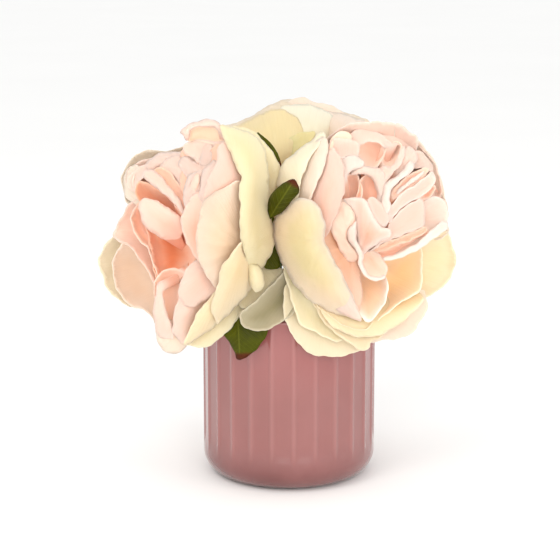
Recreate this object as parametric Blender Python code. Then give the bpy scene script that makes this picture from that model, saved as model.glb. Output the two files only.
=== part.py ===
"""Three double peonies in a short fluted glass vase.

Blender 4.5, metres, +Z up. The origin is the centre of the vase's foot, on the
surface that it stands on. -Y is the front.

Each bloom has its own frame, an empty at its receptacle whose +Z is the bloom's
axis and whose +Y leans up. Petals are patches of a family of nested bowls round
that axis, so that no two of them meet: `shell` gives the bowl and `petal` cuts a
patch out of it. `settle` presses a petal flat against the plane between two
blooms, and lays it over the rim of the vase, instead of letting it pass through.
"""

import math

import bmesh
import bpy
import numpy as np
from mathutils import Matrix, Vector

MM = 0.001

# ---------------------------------------------------------------- dimensions, mm
VASE_R = 50.0            # outside radius over the ridges of the flutes
VASE_H = 100.0
VASE_WALL = 3.4
VASE_FLOOR = 5.0
VASE_FOOT_R = 13.0       # rounding between wall and foot
FLUTES = 25
FLUTE_TURN = -40.3  # degrees from the front to the first ridge
FLUTE_DEPTH = 1.0
PETAL_T = 0.9
STEM_R = 2.3
RECEPTACLE_R = 3.6
KEEP_R, KEEP_Z = VASE_R + 3.0, VASE_H + 3.2   # petals stay outside this corner
UNDERSIDE_SHRINK = 2.15   # how much faster the inner bowls shrink on the side of the vase
TOUCH_W = 5.0            # how softly petals give way, mm
TOUCH_GAP = 0.55         # half the gap that two blooms keep between them

for old in list(bpy.data.objects):
    bpy.data.objects.remove(old, do_unlink=True)


# ---------------------------------------------------------------- materials
def material(name, rgb, roughness, metallic=0.0):
    m = bpy.data.materials.new(name)
    m.use_nodes = True
    bsdf = m.node_tree.nodes["Principled BSDF"]
    bsdf.inputs["Base Color"].default_value = (*rgb, 1.0)
    bsdf.inputs["Roughness"].default_value = roughness
    bsdf.inputs["Metallic"].default_value = metallic
    return m


ROSE_GLASS = material("rose_glass", (0.52, 0.24, 0.23), 0.18)
CREAM = material("cream_petal", (0.86, 0.76, 0.52), 0.62)
BLUSH = material("blush_petal", (0.93, 0.66, 0.54), 0.62)
GREEN = material("leaf_green", (0.11, 0.14, 0.01), 0.5)
STEM = material("stem_green", (0.17, 0.24, 0.07), 0.55)


def new_object(name, mesh, mat, parent=None):
    mesh.materials.append(mat)
    ob = bpy.data.objects.new(name, mesh)
    bpy.context.scene.collection.objects.link(ob)
    if parent is not None:
        ob.parent = parent
    return ob


# ---------------------------------------------------------------- the three blooms
class Bloom:
    """azimuth: degrees from the front, towards +X. tilt: degrees that the bloom looks up. profiles: the outermost bowl's section towards local +X, +Y, -X and -Y, as three Bezier handles (distance from the axis, height above the receptacle)."""

    def __init__(self, name, seat, azimuth, tilt, profiles):
        self.name = name
        az, t = math.radians(azimuth), math.radians(tilt)
        self.azimuth = az
        self.axis = Vector((math.sin(az) * math.cos(t), -math.cos(az) * math.cos(t), math.sin(t)))
        side = Vector((0, 0, 1)).cross(self.axis).normalized()
        up = self.axis.cross(side)
        self.matrix = Matrix((
            (side.x, up.x, self.axis.x, seat[0]),
            (side.y, up.y, self.axis.y, seat[1]),
            (side.z, up.z, self.axis.z, seat[2]),
            (0, 0, 0, 1)))
        self.profiles = profiles
        self.empty = bpy.data.objects.new(name + "_frame", None)
        bpy.context.scene.collection.objects.link(self.empty)
        self.empty.matrix_world = Matrix.Translation(Vector(seat) * MM) @ self.matrix.to_3x3().to_4x4()


NEAR = ((32, -1), (60, 14), (50, 61))
FAR = ((36, -4), (67, 20), (61, 63))
UP = ((42, -4), (76, 20), (65, 57))
LEFT = Bloom("left", (-20, -10, 136), -62, -1,
             (NEAR, ((42, -4), (74, 20), (62, 58)), ((38, -4), (70, 20), (62, 66)), ((14, 20), (52, 33), (66, 58))))
RIGHT = Bloom("right", (14, -14, 136), 45, 5,
              (FAR, UP, NEAR, ((14, 20), (54, 34), (77, 50))))
BACK = Bloom("back", (2, 22, 140), 172, 13,
             (FAR, UP, FAR, ((16, 18), (52, 30), (66, 52))))
BLOOMS = (LEFT, RIGHT, BACK)


def bisector(a, b):
    """The upright plane through the vase's axis, halfway between two blooms: its normal points from b to a."""
    da = np.array([math.sin(a.azimuth), -math.cos(a.azimuth)])
    db = np.array([math.sin(b.azimuth), -math.cos(b.azimuth)])
    n = da - db
    return n / np.linalg.norm(n)


def soft(g, w):
    """g where it is well above 0, and a little above 0 where it isn't."""
    return w * np.logaddexp(0.0, g / w)


def settle(points, bloom):
    """World points in mm, eased off the neighbouring blooms' side of the planes between them, and off the vase."""
    p = points.copy()
    for other in BLOOMS:
        if other is bloom:
            continue
        n = bisector(bloom, other)
        g = p[:, :2] @ n - TOUCH_GAP
        p[:, :2] += np.outer(soft(g, TOUCH_W) - g, n)
    rho = np.maximum(np.hypot(p[:, 0], p[:, 1]), 1e-6)
    a, b = rho - KEEP_R, p[:, 2] - KEEP_Z
    k = 5.0
    top = np.maximum(a, b)
    ea, eb = np.exp((a - top) / k), np.exp((b - top) / k)
    g = top + k * np.log(ea + eb) - k * math.log(2)
    wa, wb = ea / (ea + eb), eb / (ea + eb)
    size = np.maximum(np.hypot(wa, wb), 1e-6)
    push = (soft(g, 3.0) - g) / size
    p[:, 0] += push * wa * p[:, 0] / rho
    p[:, 1] += push * wa * p[:, 1] / rho
    p[:, 2] += push * wb
    return p


def shell(bloom, lam, layer, phi, v):
    """Points of bowl number `layer`, lam times the size of the outermost, in world mm."""
    c, s = np.cos(phi), np.sin(phi)
    weights = (np.maximum(c, 0) ** 2, np.maximum(s, 0) ** 2, np.maximum(-c, 0) ** 2, np.maximum(-s, 0) ** 2)
    low = np.maximum(lam, 0.05) ** UNDERSIDE_SHRINK
    scale = lam + (low - lam) * weights[3]
    r0, z0 = RECEPTACLE_R + 0.75, 2.1 * layer
    r = r0 * (1 - v) ** 3
    z = z0 * (1 - v) ** 3
    for k, basis in enumerate((3 * (1 - v) ** 2 * v, 3 * (1 - v) * v ** 2, v ** 3)):
        hr = sum(w * p[k][0] for w, p in zip(weights, bloom.profiles))
        hz = sum(w * p[k][1] for w, p in zip(weights, bloom.profiles))
        r = r + basis * (r0 + scale * (hr - r0))
        z = z + basis * (z0 + (0.25 * (1 - lam) + lam) * hz)
    local = np.stack([r * c, r * s, z], -1)
    m = np.array(bloom.matrix)
    return local @ m[:3, :3].T + m[:3, 3]


def petal(name, bloom, layer, lam, phi0, half, reach, mat, curl=0.0, cells=(6, 7)):
    """One petal: a patch of a bowl, `half` degrees to each side of phi0, with round shoulders. `reach` is how much of the bowl's height it covers. One side lies slightly inside the other, so that neighbours overlap."""
    nu, nv = cells
    bm = bmesh.new()
    u, t = np.meshgrid(np.linspace(-1, 1, nu + 1), np.linspace(0, 1, nv + 1), indexing="ij")
    v = reach * t * (1 - 0.24 * np.abs(u) ** 2.6)
    phi = np.radians(phi0 + half * u * (0.62 + 0.38 * np.sqrt(t)))
    points = settle(shell(bloom, (lam + curl * u * t).ravel(), layer, phi.ravel(), v.ravel()), bloom)
    inverse = np.linalg.inv(np.array(bloom.matrix))
    points = (points @ inverse[:3, :3].T + inverse[:3, 3]) * MM
    verts = [bm.verts.new(p) for p in points]
    for i in range(nu):
        for j in range(nv):
            a = i * (nv + 1) + j
            bm.faces.new([verts[a], verts[a + nv + 1], verts[a + nv + 2], verts[a + 1]])
    bmesh.ops.recalc_face_normals(bm, faces=bm.faces)
    mesh = bpy.data.meshes.new(name)
    bm.to_mesh(mesh)
    bm.free()
    mesh.shade_smooth()
    ob = new_object(name, mesh, mat, bloom.empty)
    solid = ob.modifiers.new("thickness", "SOLIDIFY")
    solid.thickness = PETAL_T * MM
    solid.offset = 0.0
    return ob


def revolve(name, section, mat, parent=None, steps=20, lobes=0, depth=0.0, lobe_from=0.0):
    """A closed turned solid from a section of (radius, height) in mm that starts and ends on the axis, drawn bottom to top on the outside. lobes > 0 draws it in between lobes."""
    bm = bmesh.new()
    rings = []
    for r, z in section:
        if r < 1e-6:
            rings.append([bm.verts.new((0, 0, z * MM))])
            continue
        ring = []
        for k in range(steps):
            a = 2 * math.pi * k / steps
            rr = r * (1 - depth * (0.5 + 0.5 * math.cos(lobes * a)) * (z > lobe_from)) if lobes else r
            ring.append(bm.verts.new((rr * math.cos(a) * MM, rr * math.sin(a) * MM, z * MM)))
        rings.append(ring)
    for low, high in zip(rings, rings[1:]):
        for k in range(steps):
            n = (k + 1) % steps
            if len(low) == 1:
                bm.faces.new([low[0], high[n], high[k]])
            elif len(high) == 1:
                bm.faces.new([low[k], low[n], high[0]])
            else:
                bm.faces.new([low[k], low[n], high[n], high[k]])
    bmesh.ops.recalc_face_normals(bm, faces=bm.faces)
    mesh = bpy.data.meshes.new(name)
    bm.to_mesh(mesh)
    bm.free()
    mesh.shade_smooth()
    mesh.set_sharp_from_angle(angle=math.radians(40))
    return new_object(name, mesh, mat, parent)


# ---------------------------------------------------------------- vase
def vase():
    """The wall's section, bottom centre round the outside, over the rim and down inside. The flutes are hollows between sharp ridges; they die out above the rounded foot and below the rim."""
    per = 4
    steps = FLUTES * per
    foot = []
    for k in range(5):
        a = math.pi / 2 * k / 4
        foot.append((VASE_R - VASE_FOOT_R * (1 - math.sin(a)), VASE_FOOT_R * (1 - math.cos(a)), 0.0))
    outside = foot + [(VASE_R, 17.0, 0.55), (VASE_R, 22.0, 1.0), (VASE_R, VASE_H - 6.0, 1.0), (VASE_R, VASE_H - 2.5, 0.35),
                      (VASE_R - 0.5, VASE_H - 0.6, 0.0), (VASE_R - VASE_WALL / 2, VASE_H, 0.0)]
    r_in = VASE_R - VASE_WALL
    inside = [(r_in + 0.4, VASE_H - 0.6, 0.0), (r_in, VASE_H - 2.0, 0.0), (r_in, 18.0, 0.0), (r_in - 3.0, VASE_FLOOR + 4.0, 0.0),
              (r_in - 9.0, VASE_FLOOR, 0.0)]
    bm = bmesh.new()
    rings = []
    for r, z, share in outside + inside:
        ring = []
        for k in range(steps):
            hollow = abs(math.sin(math.pi * k / per)) ** 0.8
            rr = r - FLUTE_DEPTH * share * hollow
            a = math.radians(FLUTE_TURN - 90) + 2 * math.pi * k / steps
            ring.append(bm.verts.new((rr * math.cos(a) * MM, rr * math.sin(a) * MM, z * MM)))
        rings.append(ring)
    for low, high in zip(rings, rings[1:]):
        for k in range(steps):
            n = (k + 1) % steps
            bm.faces.new([low[k], low[n], high[n], high[k]])
    bm.faces.new(list(reversed(rings[0])))
    bm.faces.new(rings[-1])
    bmesh.ops.recalc_face_normals(bm, faces=bm.faces)
    mesh = bpy.data.meshes.new("vase")
    bm.to_mesh(mesh)
    bm.free()
    mesh.shade_smooth()
    mesh.set_sharp_from_angle(angle=math.radians(30))
    return new_object("vase", mesh, ROSE_GLASS)


# ---------------------------------------------------------------- stems
def catmull(points, n):
    p = [Vector(q) for q in points]
    p = [2 * p[0] - p[1]] + p + [2 * p[-1] - p[-2]]
    out = []
    spans = len(p) - 3
    for k in range(n + 1):
        x = min(k / n * spans, spans - 1e-9)
        i, t = int(x), x - int(x)
        a, b, c, d = p[i:i + 4]
        out.append(0.5 * ((2 * b) + (c - a) * t + (2 * a - 5 * b + 4 * c - d) * t ** 2 + (3 * b - a - 3 * c + d) * t ** 3))
    return out


def stem(bloom):
    """From behind the calyx, round a short bend into the mouth of the vase and down to its floor, passing the other stems on one side."""
    m = bloom.matrix
    start = m @ Vector((0, 0, -11.2))
    flat = Vector((bloom.axis.x, bloom.axis.y, 0)).normalized()
    across = Vector((0, 0, 1)).cross(flat)
    path = [start,
            start - bloom.axis * 1.5,
            start - bloom.axis * 5.0 + across * 1.5 + Vector((0, 0, -1.0)),
            flat * 1.0 + across * 5.2 + Vector((0, 0, start.z - 8)),
            flat * -3.0 + across * 6.0 + Vector((0, 0, start.z - 20)),
            flat * -4.5 + across * 6.0 + Vector((0, 0, 90)),
            flat * -7.0 + across * 7.0 + Vector((0, 0, 45)),
            flat * -10.0 + across * 8.0 + Vector((0, 0, VASE_FLOOR + 1.0))]
    curve = bpy.data.curves.new(bloom.name + "_stem", "CURVE")
    curve.dimensions = "3D"
    line = curve.splines.new("POLY")
    points = catmull(path, 26)
    line.points.add(len(points) - 1)
    for point, q in zip(line.points, points):
        point.co = (*(q * MM), 1.0)
    curve.bevel_depth = STEM_R * MM
    curve.bevel_resolution = 2
    curve.use_fill_caps = True
    curve.materials.append(STEM)
    ob = bpy.data.objects.new(bloom.name + "_stem", curve)
    bpy.context.scene.collection.objects.link(ob)
    return ob


# ---------------------------------------------------------------- leaves
def leaf(name, spine, width, facing, fold=0.18, thickness=0.8, cells=(4, 9)):
    """A pointed blade along a spine of world points in mm. `facing` is the way that its upper face looks. The blade is folded a little along its midrib."""
    nu, nv = cells
    line = catmull(spine, nv)
    bm = bmesh.new()
    grid = []
    for j, q in enumerate(line):
        t = j / nv
        ahead, behind = line[min(j + 1, nv)], line[max(j - 1, 0)]
        along = (ahead - behind).normalized()
        across = along.cross(Vector(facing)).normalized()
        out = across.cross(along)
        w = width / 2 * max(math.sin(math.pi * min(1.0, t ** 0.85 * 0.94 + 0.06)) ** 0.8, 0.0)
        w = max(w, 1.1 if t < 0.5 else 0.7)
        row = []
        for i in range(nu + 1):
            u = 2 * i / nu - 1
            row.append(bm.verts.new((q + across * (w * u) + out * (fold * w * abs(u))) * MM))
        grid.append(row)
    for j in range(nv):
        for i in range(nu):
            bm.faces.new([grid[j][i], grid[j][i + 1], grid[j + 1][i + 1], grid[j + 1][i]])
    bmesh.ops.recalc_face_normals(bm, faces=bm.faces)
    mesh = bpy.data.meshes.new(name)
    bm.to_mesh(mesh)
    bm.free()
    mesh.shade_smooth()
    ob = new_object(name, mesh, GREEN)
    solid = ob.modifiers.new("thickness", "SOLIDIFY")
    solid.thickness = thickness * MM
    solid.offset = 0.0
    return ob


# ---------------------------------------------------------------- assembly
vase()
for bloom in BLOOMS:
    shift = {"left": 8.0, "right": 20.0, "back": 0.0}[bloom.name]
    for k in range(5):
        petal(f"{bloom.name}_outer_petal_{k + 1}", bloom, 0, 1.0, 72 * k + 18 + shift, 34.5, 1.0, CREAM)
    for k in range(5):
        petal(f"{bloom.name}_middle_petal_{k + 1}", bloom, 1, 0.84, 72 * k + 54 + shift, 34.5, 1.0, BLUSH)
    for k in range(4):
        petal(f"{bloom.name}_inner_petal_{k + 1}", bloom, 2, 0.68, 90 * k + 30 + shift, 43, 0.98, BLUSH, cells=(6, 7))
    revolve(f"{bloom.name}_heart", [(0, 9), (5, 10.5), (9.5, 16), (14, 26), (16, 38), (13, 48), (6, 52), (0, 51)],
            BLUSH, bloom.empty, steps=20, lobes=5, depth=0.22, lobe_from=12)
    revolve(f"{bloom.name}_calyx", [(0, -10.6), (2.6, -10.6), (4.6, -7.5), (8.2, -3.2), (8.8, -1.7), (RECEPTACLE_R, -1.4), (RECEPTACLE_R, 5.6), (0, 7.2)],
            GREEN, bloom.empty, steps=16)
    stem(bloom)

leaf("front_leaf", [(-4.5, -31, 112), (-6, -41, 126), (-7.6, -51, 142), (-8.6, -58, 156), (-8.4, -63, 168), (-5, -66, 179)], 13, (0.96, -0.28, -0.1), fold=0.1)
leaf("rim_leaf", [(-13.4, -21, 101.9), (-20, -32.5, 102.1), (-26.4, -43.1, 101.8), (-27.9, -45.6, 97.5), (-27.8, -45.4, 88), (-27.6, -45.1, 77)], 24, (-0.5, -0.85, 0.6), fold=-0.1)
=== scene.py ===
"""Looks for the peonies in a fluted vase. Millimetres in the tables, metres in the scene."""
import math
import zlib

import bmesh
import bpy
import numpy as np
from mathutils import Matrix, Vector
from mathutils.geometry import delaunay_2d_cdt


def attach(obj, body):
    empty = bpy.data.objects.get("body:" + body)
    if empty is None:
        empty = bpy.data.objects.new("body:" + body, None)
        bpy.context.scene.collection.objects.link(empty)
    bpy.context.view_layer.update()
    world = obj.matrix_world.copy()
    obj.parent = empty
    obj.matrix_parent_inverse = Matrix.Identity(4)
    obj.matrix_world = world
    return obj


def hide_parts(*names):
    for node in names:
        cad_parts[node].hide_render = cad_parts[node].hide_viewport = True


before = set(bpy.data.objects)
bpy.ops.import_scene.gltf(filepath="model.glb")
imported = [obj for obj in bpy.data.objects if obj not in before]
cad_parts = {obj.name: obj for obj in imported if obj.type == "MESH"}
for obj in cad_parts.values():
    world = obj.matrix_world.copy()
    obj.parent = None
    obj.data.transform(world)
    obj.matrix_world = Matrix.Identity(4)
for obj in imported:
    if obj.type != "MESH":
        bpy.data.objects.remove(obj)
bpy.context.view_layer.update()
MM = 0.001


# ================================================================ view and light
ELEV = math.radians(12.0)
AIM = Vector((-5.2, 0.0, 112.9))
REACH = 1000.0
VIEW = Vector((0, math.cos(ELEV), -math.sin(ELEV)))
RIGHT_V = Vector((1, 0, 0))
UP_V = RIGHT_V.cross(VIEW)
EYE = AIM - VIEW * REACH

cam = bpy.data.cameras.new("camera")
cam.sensor_width = 36.0
cam.lens = 18.0 / (280 * 0.578 / REACH)
cam.clip_start, cam.clip_end = 0.01, 20.0
cam_ob = bpy.data.objects.new("camera", cam)
cam_ob.matrix_world = Matrix.Translation(EYE * MM) @ Matrix((
    (RIGHT_V.x, UP_V.x, -VIEW.x), (RIGHT_V.y, UP_V.y, -VIEW.y), (RIGHT_V.z, UP_V.z, -VIEW.z))).to_4x4()
bpy.context.scene.collection.objects.link(cam_ob)
bpy.context.scene.camera = cam_ob
bpy.context.scene.view_settings.view_transform = "Standard"
bpy.context.scene.view_settings.look = "None"
bpy.context.scene.view_settings.exposure = 0.0
bpy.context.scene.view_settings.gamma = 1.0

world = bpy.data.worlds.new("studio")
bpy.context.scene.world = world
world.use_nodes = True
world.node_tree.nodes["Background"].inputs["Color"].default_value = (1.0, 1.0, 0.995, 1)
world.node_tree.nodes["Background"].inputs["Strength"].default_value = 1.02


def softbox(name, at, towards, size, watts, colour=(1, 1, 1)):
    light = bpy.data.lights.new(name, "AREA")
    light.shape = "RECTANGLE"
    light.size, light.size_y = size
    light.energy = watts
    light.color = colour
    ob = bpy.data.objects.new(name, light)
    ob.location = at
    ob.rotation_euler = (Vector(towards) - Vector(at)).to_track_quat("-Z", "Y").to_euler()
    bpy.context.scene.collection.objects.link(ob)
    return ob


softbox("key", (-0.55, -0.75, 0.95), (0, 0, 0.13), (0.5, 0.5), 3.2, (1.0, 0.97, 0.93))
softbox("front", (0.12, -1.25, 0.45), (0, 0, 0.13), (0.9, 0.9), 8.0, (1.0, 0.965, 0.93))
softbox("fill", (0.9, -0.6, 0.45), (0, 0, 0.12), (0.5, 0.9), 1.6, (1.0, 0.98, 0.96))


# ================================================================ colour helpers
def lin(rgb255):
    out = []
    for c in rgb255:
        c = c / 255.0
        out.append(c / 12.92 if c <= 0.04045 else ((c + 0.055) / 1.055) ** 2.4)
    return (*out, 1.0)


class Nodes:
    def __init__(self, name):
        self.mat = bpy.data.materials.new(name)
        self.mat.use_nodes = True
        self.tree = self.mat.node_tree
        self.bsdf = self.tree.nodes["Principled BSDF"]

    def add(self, kind, **props):
        node = self.tree.nodes.new(kind)
        for key, value in props.items():
            setattr(node, key, value)
        return node

    def link(self, a, b):
        self.tree.links.new(a, b)

    def maths(self, op, a, b=None, c=None, clamp=False):
        node = self.add("ShaderNodeMath", operation=op, use_clamp=clamp)
        for i, v in enumerate((a, b, c)):
            if v is None:
                continue
            if isinstance(v, (int, float)):
                node.inputs[i].default_value = v
            else:
                self.link(v, node.inputs[i])
        return node.outputs[0]

    def mix(self, factor, a, b, blend="MIX"):
        node = self.add("ShaderNodeMix", data_type="RGBA", blend_type=blend)
        node.clamp_factor = True
        for sock, v in ((node.inputs[0], factor), (node.inputs[6], a), (node.inputs[7], b)):
            if isinstance(v, (int, float)):
                sock.default_value = v
            elif isinstance(v, tuple):
                sock.default_value = v
            else:
                self.link(v, sock)
        return node.outputs[2]

    def smooth(self, value, low, high):
        node = self.add("ShaderNodeMapRange", interpolation_type="SMOOTHSTEP")
        self.link(value, node.inputs[0])
        node.inputs[1].default_value, node.inputs[2].default_value = low, high
        return node.outputs[0]

    def attribute(self, name):
        return self.add("ShaderNodeAttribute", attribute_name=name).outputs["Fac"]

    def noise(self, vector, scale, detail=3.0, rough=0.55):
        node = self.add("ShaderNodeTexNoise")
        if vector is not None:
            self.link(vector, node.inputs["Vector"])
        node.inputs["Scale"].default_value = scale
        node.inputs["Detail"].default_value = detail
        node.inputs["Roughness"].default_value = rough
        return node.outputs["Fac"]

    def combine(self, x, y, z=0.0):
        node = self.add("ShaderNodeCombineXYZ")
        for i, v in enumerate((x, y, z)):
            if isinstance(v, (int, float)):
                node.inputs[i].default_value = v
            else:
                self.link(v, node.inputs[i])
        return node.outputs[0]

    def bump(self, height, strength, distance):
        node = self.add("ShaderNodeBump")
        self.link(height, node.inputs["Height"])
        node.inputs["Strength"].default_value = strength
        node.inputs["Distance"].default_value = distance
        self.link(node.outputs[0], self.bsdf.inputs["Normal"])


TONES = {
    "cream_y": ((218, 204, 158), (241, 227, 178), (253, 246, 210)),
    "cream_y2": ((242, 224, 184), (249, 234, 202), (252, 243, 216)),
    "cream_w": ((242, 230, 186), (252, 241, 208), (254, 248, 220)),
    "cream_p": ((242, 214, 186), (250, 228, 206), (253, 240, 223)),
    "cream_l": ((224, 210, 160), (250, 223, 186), (254, 238, 216)),
    "cream_l2": ((232, 204, 156), (244, 220, 176), (252, 240, 210)),
    "cream_f": ((232, 208, 162), (240, 220, 180), (249, 236, 206)),
    "cream_o": ((238, 208, 156), (247, 224, 178), (252, 240, 208)),
    # The olive towards the claw is partly the outer petals' greenish base, partly painted shade lying inside the lowest
    # petals.
    "cream_g": ((190, 180, 124), (226, 214, 168), (250, 243, 214)),
    "cream_g2": ((226, 210, 160), (242, 228, 192), (248, 238, 210)),
    "cream_e": ((248, 230, 208), (250, 238, 220), (240, 230, 208)),
    "cream_e2": ((252, 224, 206), (254, 234, 216), (255, 246, 230)),
    "cream_b": ((238, 216, 176), (243, 224, 188), (248, 233, 212)),
    "cream_s": ((250, 238, 196), (254, 247, 216), (255, 252, 230)),
    "cream_a": ((240, 220, 164), (245, 228, 176), (241, 220, 172)),
    # Painted shade: the olive shadow on the back flower, laid on a sheet of its own.
    "olive_s": ((196, 190, 112), (222, 216, 152), (240, 232, 180)),
    "pink_b": ((252, 214, 184), (253, 226, 202), (254, 236, 218)),
    # Painted shade: dark olive grey for a lower petal that lies in shadow, over its greenish cream.
    "grey_in": ((84, 84, 44), (150, 144, 104), (216, 210, 186)),
    "peach_c": ((238, 208, 176), (241, 214, 188), (249, 228, 210)),
    "pink_p": ((243, 188, 166), (250, 208, 190), (253, 227, 214)),
    "pink_w": ((247, 196, 174), (252, 214, 196), (254, 230, 218)),
    "pink_g": ((252, 206, 180), (254, 222, 204), (255, 242, 231)),
    "pink_d": ((240, 168, 140), (248, 200, 180), (253, 224, 211)),
    "pink_d2": ((228, 160, 132), (238, 192, 172), (250, 218, 204)),
    "pale_f": ((246, 182, 154), (251, 207, 188), (254, 229, 217)),
    "orange_p": ((242, 170, 138), (248, 198, 174), (253, 222, 208)),
    "orange_i": ((255, 192, 150), (255, 208, 172), (255, 236, 220)),
    "orange_c": ((252, 186, 148), (252, 204, 178), (253, 218, 198)),
    "orange_c2": ((250, 170, 130), (253, 194, 160), (255, 222, 200)),
    "orange_b": ((250, 172, 134), (253, 196, 168), (255, 236, 222)),
    # These three darker tones sit in crevices and folds: partly the flowers' deeper colour down inside, partly painted
    # shade of the crevices.
    "cup_grad": ((230, 138, 94), (243, 176, 142), (250, 216, 198)),
    "deep": ((232, 136, 92), (245, 174, 140), (251, 204, 182)),
    "pocket_d": ((248, 166, 134), (250, 190, 164), (254, 220, 204)),
    "white_rim": ((250, 206, 184), (253, 227, 212), (255, 241, 231)),
    "bowl": ((240, 170, 146), (248, 196, 176), (252, 214, 200)),
    "pink_c": ((250, 190, 164), (252, 208, 186), (254, 226, 212)),
    "orange_r": ((255, 200, 150), (255, 214, 166), (255, 236, 210)),
    # Salmon strips between ruffles: partly the deeper colour between them, partly painted shade of the folds.
    "orange_d": ((240, 156, 124), (246, 182, 154), (252, 214, 196)),
    "cup_e": ((232, 158, 132), (240, 196, 178), (250, 222, 210)),
    "pocket": ((252, 188, 160), (253, 206, 184), (254, 226, 211)),
    "peach_in": ((248, 190, 152), (252, 210, 182), (254, 230, 212)),
    "tan_in": ((240, 208, 180), (246, 219, 195), (251, 233, 217)),
    "yellow_i": ((253, 224, 168), (254, 234, 192), (254, 243, 214)),
}

# How much of the light petal tissue gives back, against the tone it is seen as in soft light: thin tissue loses a little, and least in the reds.
TISSUE = (0.78, 0.74, 0.72)
# Petals down in the flowers' cups are given a brighter albedo than the rest: painted light, standing for the light that
# comes through their neighbours into the cups.
CUP_PAINTED_GLOW = (0.99, 0.93, 0.89)
CUP_TONES = {"orange_i", "orange_r", "pocket", "pocket_d", "deep", "cup_grad", "bowl", "peach_in", "orange_p", "orange_d", "cup_e", "pink_c", "pink_d", "pink_d2"}

_petal_materials = {}


def petal_material(tone, rim_width):
    """Petal tissue: deeper towards the claw, pale towards the rim, with fine veins that fan out, soft blotches and a
    crisp thin edge that carries a painted highlight.
    """
    key = (tone, round(rim_width, 2))
    if key in _petal_materials:
        return _petal_materials[key]
    # Cup tones take the painted light; all other tones take the plain tissue loss.
    tissue = CUP_PAINTED_GLOW if tone in CUP_TONES else TISSUE
    base, mid, rim = (tuple(v * k for v, k in zip(lin(c)[:3], tissue)) + (1.0,) for c in TONES[tone])
    n = Nodes("petal_" + tone + "_%d" % len(_petal_materials))
    t = n.attribute("along")
    u = n.attribute("across")
    edge = n.attribute("edge_mm")
    coords = n.add("ShaderNodeTexCoord").outputs["Object"]
    blotch = n.noise(coords, 55.0, 3.0)
    veins = n.noise(n.combine(n.maths("MULTIPLY", u, 26.0), n.maths("MULTIPLY", t, 2.2)), 1.0, 4.0, 0.6)
    fine = n.noise(n.combine(n.maths("MULTIPLY", u, 110.0), n.maths("MULTIPLY", t, 7.0)), 1.0, 2.0, 0.5)
    reach = n.maths("ADD", t, n.maths("MULTIPLY", n.maths("SUBTRACT", blotch, 0.5), 0.35))
    colour = n.mix(n.smooth(reach, 0.22, 0.78), base, mid)
    near_rim = n.maths("ADD", edge, n.maths("MULTIPLY", n.maths("SUBTRACT", veins, 0.5), 5.0))
    colour = n.mix(n.maths("MULTIPLY", n.maths("SUBTRACT", 1.0, n.smooth(near_rim, 0.0, 12.0)), 0.5), colour, rim)
    # Thin band along the edge blended to the rim tone: partly the petal's paler margin, partly painted highlight where
    # the edge catches the light.
    colour = n.mix(n.maths("MULTIPLY", n.maths("SUBTRACT", 1.0, n.smooth(edge, 0.3 * rim_width, 2.2 * rim_width)), min(1.0, 0.55 * rim_width)), colour, rim)
    # Painted highlight: a broken near-white line along the rim of the wider-rimmed petals, where the edge catches the
    # light.
    if rim_width >= 1.0:
        colour = n.mix(n.maths("MULTIPLY", n.maths("SUBTRACT", 1.0, n.smooth(edge, 0.2, 0.9 * rim_width)), n.maths("MULTIPLY", n.smooth(n.noise(coords, 160.0, 2.0), 0.38, 0.62), 0.4)), colour, tuple(v * k for v, k in zip(lin((254, 239, 228))[:3], TISSUE)) + (1.0,))
    shade = n.maths("ADD", n.maths("MULTIPLY", veins, 0.10), n.maths("MULTIPLY", fine, 0.05))
    colour = n.mix(1.0, colour, n.combine(n.maths("ADD", shade, 0.93), n.maths("ADD", n.maths("MULTIPLY", shade, 1.25), 0.905), n.maths("ADD", n.maths("MULTIPLY", shade, 1.5), 0.885)), "MULTIPLY")
    n.link(colour, n.bsdf.inputs["Base Color"])
    n.link(n.maths("ADD", n.maths("MULTIPLY", veins, 0.16), 0.5), n.bsdf.inputs["Roughness"])
    n.bsdf.inputs["Subsurface Weight"].default_value = 0.5
    n.bsdf.inputs["Subsurface Radius"].default_value = (1.0, 0.88, 0.82)
    n.bsdf.inputs["Subsurface Scale"].default_value = 0.002
    n.bsdf.inputs["Sheen Weight"].default_value = 0.12
    n.bsdf.inputs["Sheen Roughness"].default_value = 0.5
    n.bsdf.inputs["Specular IOR Level"].default_value = 0.28
    n.bump(n.maths("ADD", veins, n.maths("MULTIPLY", fine, 0.35)), 0.35, 0.0006)
    _petal_materials[key] = n.mat
    return n.mat


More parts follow.
